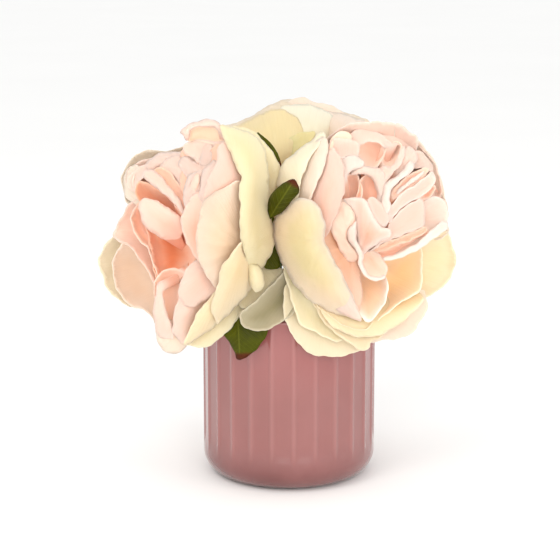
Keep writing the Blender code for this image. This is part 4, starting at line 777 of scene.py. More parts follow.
RIGHT_PETALS = [
    ("outer_a", "cream_w", (1.7, 167.0, 58.0), [(-7.5, 149.7, 48.0), (-6.9, 159.5, 46.0), (-6.4, 169.4, 45.0), (-4.6, 176.0, 44.5), (0.6, 181.8, 43.0), (6.4, 186.4, 41.5), (12.1, 190.5, 40.0), (18.5, 195.9, 38.0), (21.4, 193.6, 41.0), (16.8, 187.8, 48.0), (12.7, 181.5, 53.0), (9.2, 174.0, 57.0), (6.4, 164.7, 60.0), (4.6, 154.9, 61.0), (-1.2, 148.5, 56.0)], {'lip': 0.5, 'round_': 0.9}),
    ("outer_b", "cream_p", (13.3, 168.2, 62.0), [(4.0, 150.9, 56.0), (4.6, 162.4, 54.0), (6.9, 174.0, 50.0), (10.4, 183.2, 46.0), (15.0, 189.6, 43.5), (19.7, 193.6, 42.0), (22.5, 190.2, 46.0), (22.0, 182.1, 53.0), (19.7, 174.0, 59.0), (16.2, 165.9, 63.0), (12.7, 157.8, 66.0), (9.8, 149.7, 66.0)], {'round_': 1.0, 'rimw': 0.5}),
    ("outer_c", "pink_p", (22.5, 163.6, 66.0), [(9.8, 148.0, 60.0), (11.6, 157.2, 60.0), (14.4, 165.9, 57.0), (17.9, 175.1, 53.0), (21.4, 183.2, 50.0), (26.0, 186.7, 49.0), (30.1, 180.9, 52.0), (32.4, 171.7, 57.0), (31.8, 161.3, 62.0), (29.5, 153.2, 64.0), (26.0, 145.1, 65.0), (21.4, 135.8, 64.0), (14.4, 138.1, 62.0)], {'round_': 1.0}),
    ("guard", "cream_l", (6.4, 130.6, 83.0), [(-1.7, 152.6, 62.0), (1.2, 155.5, 65.0), (5.2, 157.2, 68.0), (9.8, 157.8, 71.0), (14.4, 155.5, 73.5), (18.5, 150.3, 75.5), (20.8, 142.8, 76.5), (20.5, 134.7, 77.0), (23.1, 127.2, 77.0), (27.7, 119.1, 75.5), (32.4, 110.4, 73.0), (36.4, 101.7, 69.0), (39.9, 93.1, 64.0), (34.1, 89.6, 61.0), (26.6, 90.7, 60.0), (19.1, 94.2, 59.5), (12.1, 98.8, 59.0), (6.4, 104.0, 58.5), (1.2, 111.0, 57.5), (-3.5, 119.6, 56.0), (-7.5, 128.3, 54.0), (-9.8, 137.0, 53.0), (-9.2, 144.5, 54.5), (-5.8, 149.1, 58.0)], {'rimw': 1.3, 'round_': 0.85, 'lip': 0.7}),
    ("tri", "pink_w", (32.4, 98.3, 73.0), [(30.1, 109.8, 71.0), (26.6, 104.0, 70.0), (24.3, 97.1, 67.0), (28.3, 92.5, 66.0), (34.7, 89.0, 65.0), (41.6, 86.7, 64.0), (39.9, 93.6, 66.5), (36.4, 101.1, 70.0), (32.4, 109.2, 72.0)], {'ruf': 0.3, 'furrow': 0.3, 'tail': False}),
    ("cup_low", "orange_i", (44.5, 101.1, 50.0), [(29.5, 112.7, 50.0), (34.1, 104.6, 56.0), (37.0, 97.1, 60.0), (40.5, 90.7, 62.0), (44.5, 86.4, 62.5), (48.6, 87.9, 62.0), (53.2, 93.6, 60.5), (56.1, 99.4, 59.5), (57.5, 105.2, 58.5), (56.1, 111.0, 56.0), (52.6, 115.0, 50.0), (42.2, 117.3, 46.0)], {'rimw': 2.0, 'lip': 1.4}),
    ("cup_right", "orange_r", (65.3, 112.7, 32.0), [(43.3, 81.5, 57.0), (48.0, 84.4, 56.5), (55.5, 90.2, 55.0), (63.0, 96.2, 52.5), (69.9, 100.6, 49.5), (75.7, 104.0, 46.5), (76.9, 112.1, 42.0), (76.9, 120.8, 38.0), (75.7, 130.0, 36.0), (67.0, 128.9, 36.0), (57.2, 124.3, 32.0), (48.0, 113.3, 34.0)], {'rimw': 1.0, 'lip': 0.8}),
    ("outer_yellow", "yellow_i", (85.0, 120.8, 18.0), [(71.1, 133.5, 26.0), (81.5, 135.8, 22.0), (87.9, 138.1, 20.5), (91.3, 138.7, 20.0), (93.1, 134.7, 19.0), (94.8, 129.5, 18.5), (96.5, 123.7, 18.5), (95.9, 118.5, 19.5), (93.1, 111.6, 22.0), (87.9, 105.5, 26.0), (81.5, 101.7, 31.0), (74.6, 97.7, 35.0), (67.0, 95.4, 38.0), (64.2, 110.4, 30.0), (68.8, 124.3, 26.0)], {'lip': 0.6}),
    ("outer_low_r", "cream_p", (64.2, 84.4, 39.0), [(75.7, 104.6, 32.0), (79.2, 101.1, 33.0), (80.3, 95.4, 34.0), (78.0, 89.6, 35.0), (75.1, 85.0, 36.5), (71.7, 80.3, 38.0), (67.0, 77.5, 39.5), (61.3, 76.0, 41.5), (54.9, 76.0, 43.5), (48.0, 74.0, 46.0), (44.5, 81.5, 44.0), (58.4, 93.1, 38.0)], {'lip': 0.5}),
    ("low_layer", "cream_o", (42.2, 83.8, 60.0), [(19.1, 98.8, 59.0), (17.9, 94.2, 60.0), (20.2, 89.0, 61.0), (24.3, 84.4, 61.0), (29.5, 80.9, 60.5), (35.3, 78.6, 60.0), (41.0, 77.5, 59.0), (48.0, 77.5, 57.5), (56.1, 80.3, 55.0), (63.0, 84.4, 52.0), (68.8, 89.0, 49.5), (74.6, 94.8, 46.5), (78.0, 100.6, 43.5), (72.2, 104.6, 34.0), (58.4, 104.6, 30.0), (43.9, 107.5, 30.0), (32.4, 107.5, 34.0), (23.7, 104.6, 44.0)], {'rimw': 0.8, 'lip': 0.8}),
    ("low_layer2", "cream_f", (36.4, 78.6, 56.5), [(14.4, 98.8, 57.0), (16.2, 92.5, 57.5), (19.7, 86.7, 58.0), (23.7, 82.1, 58.0), (28.3, 78.6, 57.5), (32.9, 75.1, 57.0), (37.6, 72.0, 55.5), (41.0, 69.9, 54.0), (44.5, 69.6, 53.0), (46.8, 71.7, 52.5), (48.0, 75.1, 52.5), (54.9, 78.6, 52.0), (59.5, 88.4, 40.0), (41.0, 98.8, 34.0), (26.6, 104.6, 40.0)], {'rimw': 0.9, 'lip': 0.8}),
    ("low_layer3", "cream_l2", (23.7, 88.4, 59.0), [(15.6, 97.7, 60.0), (19.1, 93.1, 62.0), (24.3, 89.0, 63.0), (29.5, 85.5, 63.0), (35.3, 82.7, 62.5), (41.0, 81.5, 62.0), (45.7, 82.7, 61.0), (49.1, 87.3, 57.0), (45.7, 94.2, 46.0), (35.3, 101.7, 42.0), (23.7, 104.6, 50.0)], {'rimw': 0.6}),
    ("low_out2", "cream_g", (9.8, 94.2, 55.0), [(-5.2, 127.7, 50.0), (-4.0, 120.2, 51.5), (-2.6, 113.3, 53.0), (-0.6, 106.4, 54.5), (1.2, 99.4, 56.0), (3.5, 91.9, 57.0), (6.4, 85.0, 57.0), (10.4, 82.1, 57.0), (15.6, 80.3, 57.0), (21.4, 76.9, 56.5), (28.3, 74.6, 55.5), (32.4, 79.2, 54.0), (23.7, 90.2, 54.0), (13.3, 100.0, 55.0), (5.2, 110.4, 53.0), (-0.6, 120.8, 51.0)], {'lip': 0.5, 'rimw': 0.9}),
    ("low_out", "cream_g2", (16.8, 78.6, 51.5), [(-1.7, 107.5, 51.0), (-2.9, 101.1, 52.5), (-3.5, 94.8, 53.5), (-2.3, 87.9, 54.0), (0.6, 80.9, 54.0), (4.6, 75.1, 53.5), (9.2, 69.9, 53.0), (15.0, 67.0, 52.5), (23.7, 66.1, 52.0), (32.4, 66.6, 51.5), (39.3, 69.1, 50.5), (45.7, 72.2, 50.0), (41.0, 81.5, 50.0), (23.7, 90.2, 51.0), (6.4, 98.8, 51.0)], {'lip': 0.6}),
    # Painted shade: this petal lies in shadow between the blooms and carries that shade in its tone.
    ("bottom_left", "grey_in", (-15.6, 94.2, 52.0), [(0.6, 120.8, 49.0), (-3.2, 115.0, 52.0), (-8.7, 109.2, 53.5), (-13.9, 104.0, 55.0), (-19.1, 98.8, 56.0), (-23.7, 94.8, 57.0), (-27.5, 92.5, 57.0), (-28.6, 89.0, 56.5), (-27.7, 85.5, 56.0), (-24.3, 82.4, 55.5), (-17.9, 80.9, 55.0), (-11.0, 82.4, 54.5), (-3.5, 86.7, 54.0), (4.0, 93.1, 53.0), (5.2, 107.5, 50.0)], {'lip': 0.8, 'rimw': 0.9}),
    ("bowl", "bowl", (55.5, 162.4, 16.0), [(16.8, 176.9, 36.0), (19.7, 187.3, 34.0), (26.6, 195.4, 32.0), (35.3, 199.7, 31.0), (45.7, 200.6, 30.0), (55.5, 200.6, 28.0), (64.2, 197.7, 26.0), (71.7, 191.3, 22.0), (78.6, 184.4, 18.0), (83.8, 176.9, 16.0), (87.3, 168.2, 15.0), (89.0, 157.8, 16.0), (87.3, 143.9, 24.0), (76.9, 131.2, 34.0), (61.3, 123.7, 44.0), (43.9, 120.8, 48.0), (32.4, 133.5, 50.0), (20.8, 153.7, 50.0)], {'h0': 20, 'ruf': 0.3}),
    ("top_far", "pink_w", (50.3, 180.9, 22.0), [(16.8, 176.9, 34.0), (17.3, 185.5, 33.0), (21.4, 191.3, 33.0), (27.2, 196.5, 34.5), (32.9, 200.0, 36.0), (38.7, 201.5, 37.0), (45.7, 201.8, 37.0), (52.6, 202.0, 36.0), (59.5, 201.3, 34.5), (65.3, 199.1, 32.0), (69.9, 195.7, 29.5), (74.6, 191.3, 27.0), (69.9, 174.0, 22.0), (52.6, 162.4, 22.0), (32.4, 165.3, 26.0)], {'ruf': 0.6, 'lip': 0.6}),
    ("right_far", "cream_e2", (80.3, 169.4, 13.0), [(61.8, 200.6, 33.0), (67.6, 198.0, 29.0), (72.8, 193.1, 26.0), (78.0, 187.6, 23.0), (82.7, 181.8, 21.0), (86.1, 174.6, 19.5), (88.4, 167.0, 18.5), (90.2, 158.9, 18.0), (91.6, 152.0, 18.0), (91.6, 143.9, 19.0), (91.9, 138.1, 20.0), (84.4, 133.5, 20.0), (72.8, 145.1, 16.0), (64.2, 168.2, 16.0), (60.7, 188.4, 24.0)], {'ruf': 0.4, 'lip': 0.7}),
    ("right_g", "pink_g", (85.0, 149.7, 30.0), [(75.7, 157.2, 36.0), (80.3, 158.1, 33.0), (85.5, 158.4, 30.0), (89.6, 156.9, 27.5), (91.6, 152.0, 26.5), (91.9, 145.7, 28.0), (91.0, 140.5, 31.0), (86.1, 137.0, 38.0), (79.2, 131.8, 44.0), (69.9, 127.7, 48.0), (59.5, 124.3, 47.0), (50.3, 123.1, 42.0), (52.6, 130.0, 40.0), (64.2, 140.5, 38.0), (71.1, 149.7, 36.0)], {'rimw': 1.2, 'h0': 30, 'lip': 0.6}),
    ("right_roll", "white_rim", (78.0, 132.7, 48.5), [(46.8, 120.2, 53.0), (52.6, 120.8, 54.0), (59.5, 122.0, 54.0), (66.5, 124.0, 53.0), (72.8, 126.9, 51.0), (78.6, 130.3, 48.5), (83.8, 134.4, 45.0), (88.4, 137.6, 41.0), (91.6, 139.9, 36.0), (91.6, 143.9, 33.0), (87.9, 143.9, 36.0), (83.8, 141.0, 41.0), (79.8, 137.0, 45.5), (74.6, 132.4, 48.5), (68.8, 128.9, 51.0), (61.8, 125.7, 52.5), (54.3, 123.4, 53.0), (48.0, 122.0, 52.5)], {'rimw': 1.6, 'ruf': 0.3, 'lip': 0.3, 'h0': 30, 'tail': False}),
    ("core_l", "orange_c", (28.3, 127.7, 62.0), [(16.8, 140.5, 64.0), (19.7, 148.5, 63.0), (23.1, 153.7, 61.5), (27.7, 156.3, 60.0), (32.9, 156.6, 58.0), (37.6, 154.3, 57.0), (38.7, 145.1, 57.0), (36.4, 133.5, 58.0), (39.3, 123.1, 57.0), (41.6, 111.6, 58.0), (42.2, 98.8, 61.0), (39.9, 91.9, 63.0), (36.4, 95.4, 66.0), (31.8, 103.5, 69.0), (26.6, 111.6, 71.0), (21.4, 120.8, 72.0), (16.8, 130.6, 70.0)], {'h0': 28, 'round_': 1.0, 'lip': 0.3}),
    ("core_left", "pink_c", (30.1, 142.8, 63.0), [(23.1, 149.1, 60.0), (25.4, 154.3, 59.0), (30.1, 157.2, 57.5), (34.7, 156.6, 57.0), (38.1, 153.2, 57.0), (39.3, 147.4, 58.0), (37.6, 142.8, 60.0), (34.7, 139.3, 61.5), (33.5, 134.7, 62.0), (35.3, 130.6, 62.0), (38.7, 127.2, 61.0), (39.3, 122.5, 60.0), (35.3, 120.8, 60.0), (31.2, 124.8, 61.5), (27.2, 132.4, 63.0), (23.7, 141.0, 62.5)], {'h0': 34, 'round_': 0.9, 'rimw': 0.5}),
    ("core_knob", "pale_f", (43.3, 145.1, 63.0), [(31.2, 157.2, 58.0), (34.1, 158.0, 58.0), (38.7, 158.2, 58.0), (42.8, 157.4, 58.5), (45.7, 155.2, 60.0), (47.1, 150.9, 61.0), (49.1, 146.5, 61.5), (52.0, 142.8, 61.5), (55.2, 140.7, 61.0), (58.1, 139.6, 60.0), (59.0, 137.0, 59.5), (57.2, 134.4, 59.5), (53.2, 132.7, 60.0), (49.1, 130.3, 60.0), (45.1, 127.2, 59.0), (42.2, 124.3, 58.0), (39.9, 127.7, 58.0), (38.7, 133.5, 59.0), (38.1, 139.3, 59.5), (38.7, 145.1, 59.0), (36.4, 151.4, 58.5)], {'h0': 36, 'rimw': 1.8, 'ruf': 0.5, 'lip': 0.9}),
    ("core_s", "white_rim", (35.8, 134.7, 64.5), [(39.0, 144.5, 61.0), (36.1, 142.2, 62.0), (34.2, 138.7, 63.0), (33.8, 134.7, 63.5), (35.7, 130.9, 63.5), (38.4, 128.3, 63.0), (40.2, 124.8, 62.5), (39.6, 120.8, 62.0), (41.0, 117.0, 61.5), (43.3, 113.6, 61.5), (46.2, 110.7, 61.5), (50.3, 109.8, 61.0), (54.9, 111.3, 60.0), (55.2, 113.3, 59.0), (50.9, 112.4, 60.0), (46.8, 112.7, 60.5), (44.1, 116.2, 60.5), (42.8, 120.8, 60.5), (42.8, 125.4, 61.0), (41.0, 129.5, 62.0), (39.3, 133.5, 63.0), (38.7, 138.7, 62.5)], {'h0': 36, 'rimw': 1.2, 'ruf': 0.3, 'lip': 0.3, 'furrow': 0.2, 'tail': False}),
    ("core_b", "orange_b", (48.6, 119.6, 58.5), [(41.6, 125.4, 58.0), (44.5, 127.4, 57.0), (48.6, 127.2, 55.0), (52.6, 124.8, 54.0), (55.5, 120.8, 55.0), (56.9, 116.2, 57.0), (55.5, 112.1, 59.5), (50.9, 111.4, 60.0), (46.5, 111.7, 60.0), (43.6, 115.6, 59.5), (42.2, 120.2, 59.0)], {'h0': 34, 'rimw': 0.9, 'lip': 0.5}),
    ("slot_low", "pocket_d", (60.7, 128.3, 47.0), [(43.3, 124.8, 54.0), (48.0, 126.0, 53.0), (53.8, 127.7, 52.0), (60.7, 130.0, 50.0), (67.6, 132.9, 47.5), (73.4, 135.8, 44.5), (79.2, 139.9, 41.0), (81.5, 138.1, 40.0), (78.6, 133.5, 42.5), (73.4, 129.5, 46.0), (67.0, 126.3, 48.5), (60.1, 123.7, 50.5), (53.2, 122.2, 52.0), (47.4, 122.2, 53.0)], {'rimw': 0.4, 'h0': 34, 'lip': 0.3}),
    ("slot_up", "orange_c2", (60.7, 131.2, 51.0), [(45.1, 126.0, 55.0), (49.1, 128.9, 55.0), (53.8, 131.2, 54.5), (60.1, 133.8, 53.0), (66.5, 136.4, 51.0), (72.2, 138.4, 48.5), (78.0, 141.6, 44.5), (79.8, 139.3, 43.5), (75.7, 135.8, 46.0), (69.9, 133.2, 49.0), (63.0, 130.9, 51.5), (56.1, 128.3, 53.5), (49.7, 126.0, 54.5)], {'rimw': 0.9, 'h0': 34, 'lip': 0.5}),
    ("right_g3", "pink_p", (65.3, 145.1, 52.0), [(45.7, 126.0, 56.0), (49.7, 130.0, 56.5), (53.8, 133.5, 56.5), (57.2, 136.4, 56.0), (57.2, 141.6, 55.5), (60.7, 146.8, 54.0), (65.3, 151.4, 52.0), (70.5, 154.9, 49.0), (75.7, 157.5, 45.5), (78.0, 154.3, 44.0), (78.6, 148.5, 43.5), (78.0, 142.5, 44.5), (72.8, 139.0, 48.5), (66.5, 136.7, 51.5), (60.7, 134.4, 53.5), (54.9, 131.8, 55.0), (49.7, 128.9, 56.0)], {'rimw': 1.1, 'h0': 34, 'lip': 0.8}),
    ("core_k2", "pink_p", (52.6, 149.7, 56.0), [(45.1, 156.6, 55.0), (48.0, 158.4, 53.0), (51.4, 156.6, 52.5), (54.9, 153.7, 53.0), (57.2, 149.7, 54.0), (57.8, 145.7, 56.0), (56.1, 141.6, 58.0), (52.6, 142.2, 59.5), (49.1, 146.2, 59.5), (46.8, 151.4, 57.5)], {'h0': 34, 'rimw': 1.4, 'lip': 0.8}),
    ("pocket_a", "pocket", (39.3, 163.0, 43.0), [(27.7, 155.5, 53.0), (28.9, 162.4, 50.0), (30.6, 168.2, 48.0), (34.1, 171.1, 47.0), (38.7, 172.0, 46.0), (41.0, 168.2, 46.5), (42.2, 162.4, 50.0), (41.6, 157.2, 54.0), (35.3, 153.2, 56.0)], {'h0': 34, 'rimw': 0.5, 'lip': 0.3}),
    ("pocket_b", "pocket_d", (45.7, 163.6, 41.0), [(38.7, 155.5, 52.0), (39.9, 162.4, 49.0), (41.6, 168.8, 46.0), (45.7, 172.2, 44.5), (49.7, 170.5, 44.0), (52.0, 164.7, 46.0), (52.6, 158.4, 49.0), (51.4, 152.6, 52.0), (46.8, 150.9, 54.0)], {'h0': 34, 'rimw': 0.4, 'lip': 0.2}),
    ("lip_q", "pink_w", (44.5, 173.7, 48.0), [(35.3, 171.1, 47.0), (36.4, 173.7, 46.5), (39.9, 175.4, 46.0), (44.5, 176.0, 45.5), (49.1, 175.8, 45.0), (53.2, 174.6, 44.5), (56.1, 170.5, 45.5), (56.6, 163.6, 48.0), (55.5, 156.6, 51.0), (53.2, 154.9, 52.0), (51.4, 161.3, 49.5), (49.1, 167.0, 47.5), (45.1, 170.8, 47.0), (39.9, 171.7, 47.3)], {'ruf': 0.5, 'h0': 32, 'lip': 0.5, 'rimw': 1.3}),
    ("ruff_q", "white_rim", (35.3, 178.6, 49.0), [(27.7, 170.5, 50.0), (28.3, 176.3, 48.5), (30.1, 179.8, 46.5), (32.9, 181.8, 45.0), (37.0, 182.6, 44.0), (40.5, 181.8, 43.5), (43.1, 179.2, 44.0), (43.3, 176.3, 45.5), (39.3, 174.8, 47.0), (35.8, 172.8, 48.5), (32.9, 169.4, 50.5), (29.5, 167.0, 52.0)], {'ruf': 0.5, 'h0': 32, 'lip': 0.6, 'rimw': 1.0}),
    ("ruff_a", "white_rim", (57.2, 158.9, 53.0), [(53.8, 161.3, 49.5), (54.9, 165.3, 48.5), (57.8, 167.6, 47.0), (61.8, 170.5, 45.0), (65.9, 174.0, 42.0), (68.8, 178.0, 38.5), (70.8, 179.8, 37.0), (72.5, 176.9, 38.0), (70.5, 172.8, 41.5), (66.5, 169.4, 45.0), (61.8, 165.9, 48.0), (59.0, 162.4, 50.5), (58.4, 157.2, 52.5), (58.7, 152.0, 54.0), (56.6, 148.0, 55.0), (54.3, 151.4, 54.0), (53.5, 156.6, 52.0)], {'ruf': 0.7, 'h0': 34, 'lip': 0.8, 'rimw': 1.4}),
    ("ruff_b", "pink_w", (64.2, 155.5, 49.0), [(57.2, 145.7, 55.0), (58.4, 151.4, 53.0), (61.3, 156.6, 51.0), (65.3, 160.7, 48.5), (70.5, 164.2, 45.0), (75.7, 167.6, 41.0), (80.3, 171.1, 37.0), (83.2, 173.4, 34.0), (84.7, 169.4, 34.0), (82.7, 164.2, 37.0), (78.0, 159.5, 42.0), (72.2, 156.6, 46.5), (67.0, 153.2, 50.0), (61.8, 149.1, 53.0), (59.0, 143.9, 55.5)], {'ruf': 0.7, 'h0': 32, 'rimw': 1.4, 'lip': 0.9}),
    ("fold_a", "pocket_d", (65.3, 165.9, 44.5), [(59.0, 161.3, 48.0), (61.8, 164.7, 46.5), (65.3, 168.2, 44.5), (69.4, 171.1, 41.5), (74.0, 173.7, 38.0), (78.6, 175.7, 34.5), (80.9, 174.0, 34.0), (78.0, 169.9, 37.5), (74.0, 166.5, 41.0), (69.4, 163.6, 44.5), (64.7, 160.1, 48.0), (60.7, 157.2, 50.0)], {'ruf': 0.5, 'h0': 32, 'rimw': 0.7, 'lip': 0.4}),
    ("fold_a2", "white_rim", (70.5, 168.2, 44.5), [(63.0, 162.4, 47.5), (66.5, 165.3, 46.0), (69.9, 168.5, 44.0), (74.0, 171.1, 41.0), (77.5, 173.1, 38.0), (78.0, 171.7, 38.0), (74.6, 168.8, 41.5), (70.5, 165.9, 44.5), (66.5, 163.0, 47.0), (63.6, 160.7, 48.5)], {'ruf': 0.3, 'h0': 32, 'rimw': 0.8, 'lip': 0.2, 'furrow': 0.2}),
    ("fold_b", "pocket_d", (79.8, 161.8, 35.0), [(75.7, 157.2, 40.0), (77.5, 160.1, 39.0), (80.3, 163.0, 36.5), (83.2, 165.3, 33.5), (85.0, 164.2, 32.5), (83.2, 160.7, 34.0), (80.3, 157.8, 37.0)], {'ruf': 0.3, 'h0': 30, 'rimw': 0.5}),
    ("ruff_c", "pink_p", (56.1, 172.8, 46.0), [(49.1, 170.5, 44.0), (51.4, 174.6, 43.0), (54.9, 176.3, 42.5), (58.4, 175.7, 42.0), (60.7, 178.0, 40.0), (63.0, 182.1, 37.0), (64.7, 186.1, 34.0), (66.8, 188.1, 32.5), (67.6, 185.0, 34.0), (65.9, 179.8, 38.0), (63.0, 175.1, 42.0), (59.5, 171.1, 45.0), (56.6, 167.6, 47.5), (54.9, 163.0, 49.0), (54.9, 157.2, 51.0), (52.6, 153.7, 52.0), (50.9, 158.9, 49.0), (49.7, 165.3, 46.0)], {'ruf': 0.6, 'h0': 32, 'lip': 0.7, 'rimw': 1.2}),
    ("ruff_d", "pink_w", (67.0, 180.9, 36.0), [(61.8, 174.0, 39.0), (63.6, 179.8, 36.0), (65.9, 184.4, 33.0), (68.8, 187.8, 30.5), (72.2, 186.1, 29.5), (74.0, 182.1, 30.5), (72.8, 177.4, 33.5), (69.4, 175.1, 37.0), (65.3, 171.7, 41.0)], {'ruf': 0.7, 'h0': 30, 'lip': 0.7, 'rimw': 1.2}),
    ("ruff_e", "pink_w", (75.7, 178.6, 27.0), [(66.5, 177.4, 32.0), (69.4, 182.1, 29.5), (72.8, 185.0, 27.0), (76.9, 184.4, 25.0), (80.9, 179.8, 23.5), (83.2, 175.1, 23.5), (82.1, 172.8, 26.0), (78.0, 175.1, 29.0), (72.8, 175.1, 32.0)], {'ruf': 0.7, 'h0': 28, 'lip': 0.7}),
    ("ruff_f", "pink_w", (81.5, 170.5, 22.0), [(67.6, 185.5, 26.0), (71.1, 189.0, 24.0), (75.1, 187.8, 22.5), (79.8, 183.2, 21.0), (83.8, 178.0, 20.0), (86.4, 171.7, 19.5), (87.9, 164.7, 19.0), (87.9, 158.4, 20.0), (83.8, 157.2, 24.0), (81.5, 162.4, 26.0), (82.1, 169.4, 26.0), (78.6, 176.3, 25.0), (72.2, 180.9, 27.0)], {'ruf': 0.6, 'h0': 28, 'lip': 0.7}),
    ("top_a", "pink_w", (45.7, 194.8, 33.0), [(34.7, 191.3, 35.0), (36.4, 195.7, 33.5), (39.9, 198.8, 32.0), (43.9, 200.4, 31.0), (47.4, 199.1, 30.5), (50.9, 196.2, 30.5), (54.9, 193.3, 30.5), (59.0, 190.2, 30.0), (59.0, 186.7, 31.0), (54.9, 187.3, 32.0), (50.9, 189.6, 33.0), (45.7, 190.2, 34.0), (41.0, 188.4, 35.5), (36.4, 187.3, 37.0)], {'ruf': 0.5, 'h0': 26, 'lip': 0.7, 'rimw': 1.2}),
    ("top_b", "pink_w", (63.0, 194.2, 27.0), [(52.6, 195.4, 28.0), (56.1, 198.0, 27.0), (60.7, 198.3, 26.0), (65.3, 195.9, 24.5), (69.4, 191.9, 23.0), (70.5, 187.3, 24.0), (67.6, 186.1, 27.0), (63.6, 188.4, 29.0), (59.0, 187.8, 31.0), (54.9, 190.2, 31.0)], {'ruf': 0.5, 'h0': 26, 'lip': 0.6}),
    ("pocket_c", "pocket", (46.8, 184.4, 26.0), [(38.7, 185.5, 36.0), (41.0, 189.0, 34.0), (45.7, 191.0, 32.0), (50.9, 190.5, 31.0), (54.3, 188.4, 31.0), (54.9, 183.2, 33.0), (53.2, 178.6, 36.0), (50.3, 175.1, 39.0), (45.7, 175.1, 40.0), (42.2, 178.6, 40.0), (39.9, 182.1, 38.0)], {'h0': 26, 'rimw': 0.3, 'lip': 0.2}),
    ("pocket_e", "pocket", (59.0, 184.4, 27.0), [(53.8, 177.4, 35.0), (54.9, 183.8, 33.0), (57.8, 188.4, 31.0), (61.8, 190.5, 29.5), (65.3, 188.4, 30.5), (64.7, 183.8, 33.0), (61.8, 178.6, 36.0), (57.8, 175.1, 38.0)], {'h0': 26, 'rimw': 0.3, 'lip': 0.2}),
    ("left_a", "pink_p", (32.4, 186.1, 43.0), [(19.1, 172.8, 52.0), (19.7, 179.8, 50.0), (21.4, 186.1, 47.0), (24.3, 190.7, 44.0), (27.7, 192.8, 42.0), (32.4, 192.2, 40.5), (37.0, 191.3, 39.0), (40.5, 189.0, 38.5), (41.0, 185.0, 40.5), (39.3, 181.5, 43.0), (33.5, 181.5, 45.5), (29.5, 178.6, 48.5), (27.7, 172.8, 51.0), (23.7, 168.2, 54.0)], {'ruf': 0.6, 'h0': 28, 'lip': 0.7, 'rimw': 1.2}),
    ("left_f", "pocket_d", (24.3, 185.0, 50.0), [(22.3, 179.8, 52.0), (22.5, 185.0, 49.5), (24.0, 189.6, 46.5), (26.0, 191.6, 45.0), (25.7, 187.3, 47.5), (25.4, 182.6, 50.5), (26.6, 178.6, 52.0), (24.3, 177.4, 53.0)], {'ruf': 0.2, 'h0': 28, 'rimw': 0.3, 'lip': 0.1, 'furrow': 0.2}),
    ("left_g", "peach_in", (30.1, 193.6, 38.0), [(23.7, 190.2, 41.0), (26.0, 194.2, 38.5), (30.1, 196.5, 37.0), (34.1, 195.9, 36.0), (36.4, 193.1, 37.0), (34.1, 189.6, 39.5), (28.9, 188.4, 42.0)], {'ruf': 0.4, 'h0': 26, 'rimw': 0.5}),
]

BACK_PETALS = [
    ("b_main", "cream_b", (6.4, 200.0, -30.0), [(-38.7, 197.7, -42.0), (-30.1, 201.4, -46.0), (-23.1, 204.3, -49.0), (-16.8, 208.1, -52.0), (-9.8, 212.1, -55.0), (-2.3, 214.6, -57.0), (6.4, 214.4, -57.5), (15.0, 213.0, -57.0), (23.7, 210.1, -55.0), (32.4, 207.2, -53.0), (39.9, 204.9, -50.0), (46.8, 201.1, -46.0), (45.7, 185.5, -32.0), (32.4, 171.1, -24.0), (6.4, 162.4, -18.0), (-15.6, 168.2, -20.0), (-28.3, 185.5, -30.0)], {'round_': 0.8, 'lip': 0.6}),
    ("b_bright", "cream_s", (13.3, 202.9, -22.0), [(-5.2, 209.2, -38.0), (0.6, 211.5, -41.0), (7.5, 212.1, -42.5), (15.0, 211.0, -42.0), (21.4, 208.1, -39.0), (26.0, 203.5, -34.0), (26.6, 195.9, -28.0), (22.5, 188.4, -22.0), (13.3, 184.4, -18.0), (4.0, 191.3, -20.0), (-2.9, 201.7, -30.0)], {'round_': 0.9}),
    ("b_arc", "cream_a", (-11.0, 197.1, -16.0), [(-35.3, 191.3, -28.0), (-34.7, 196.5, -34.0), (-29.5, 200.0, -35.0), (-23.7, 202.6, -35.0), (-17.9, 205.5, -35.0), (-13.3, 207.8, -34.0), (-8.7, 208.9, -32.5), (-2.9, 208.7, -30.5), (1.7, 206.3, -27.5), (6.4, 202.3, -23.5), (9.8, 195.9, -18.0), (8.7, 186.7, -13.0), (4.0, 176.9, -10.0), (-5.2, 169.4, -8.0), (-15.6, 172.8, -10.0), (-28.3, 182.6, -20.0)], {'round_': 0.9, 'lip': 0.8, 'rimw': 0.8}),
    # Painted shade: a sheet standing for the olive shadow that falls on the back flower's arc.
    ("b_olive", "olive_s", (1.7, 185.5, -6.5), [(-7.5, 168.2, -6.0), (-7.8, 178.0, -6.5), (-6.4, 185.0, -7.5), (-2.9, 190.2, -8.5), (1.7, 193.6, -10.0), (6.4, 195.4, -11.0), (11.0, 196.3, -12.0), (14.7, 196.5, -12.0), (15.3, 194.2, -10.5), (12.1, 190.7, -8.5), (8.7, 186.1, -6.5), (5.2, 178.6, -4.5), (-0.6, 168.2, -3.5)], {'round_': 1.0, 'rimw': 0.6, 'lip': 0.2}),
    ("b_right", "pink_b", (35.3, 200.6, -26.0), [(22.5, 207.5, -44.0), (29.5, 206.9, -47.0), (36.4, 204.9, -47.0), (43.3, 202.3, -44.0), (48.0, 197.1, -36.0), (44.5, 187.8, -28.0), (35.3, 184.4, -22.0), (26.0, 187.8, -20.0), (21.4, 197.1, -30.0)], {'round_': 0.9, 'ruf': 0.6}),
]

for bloom, table in ((LEFT, LEFT_PETALS), (RIGHT, RIGHT_PETALS), (BACK, BACK_PETALS)):
    for name, tone, belly, rim, options in table:
        membrane(name, bloom, belly, rim, tone, **options)

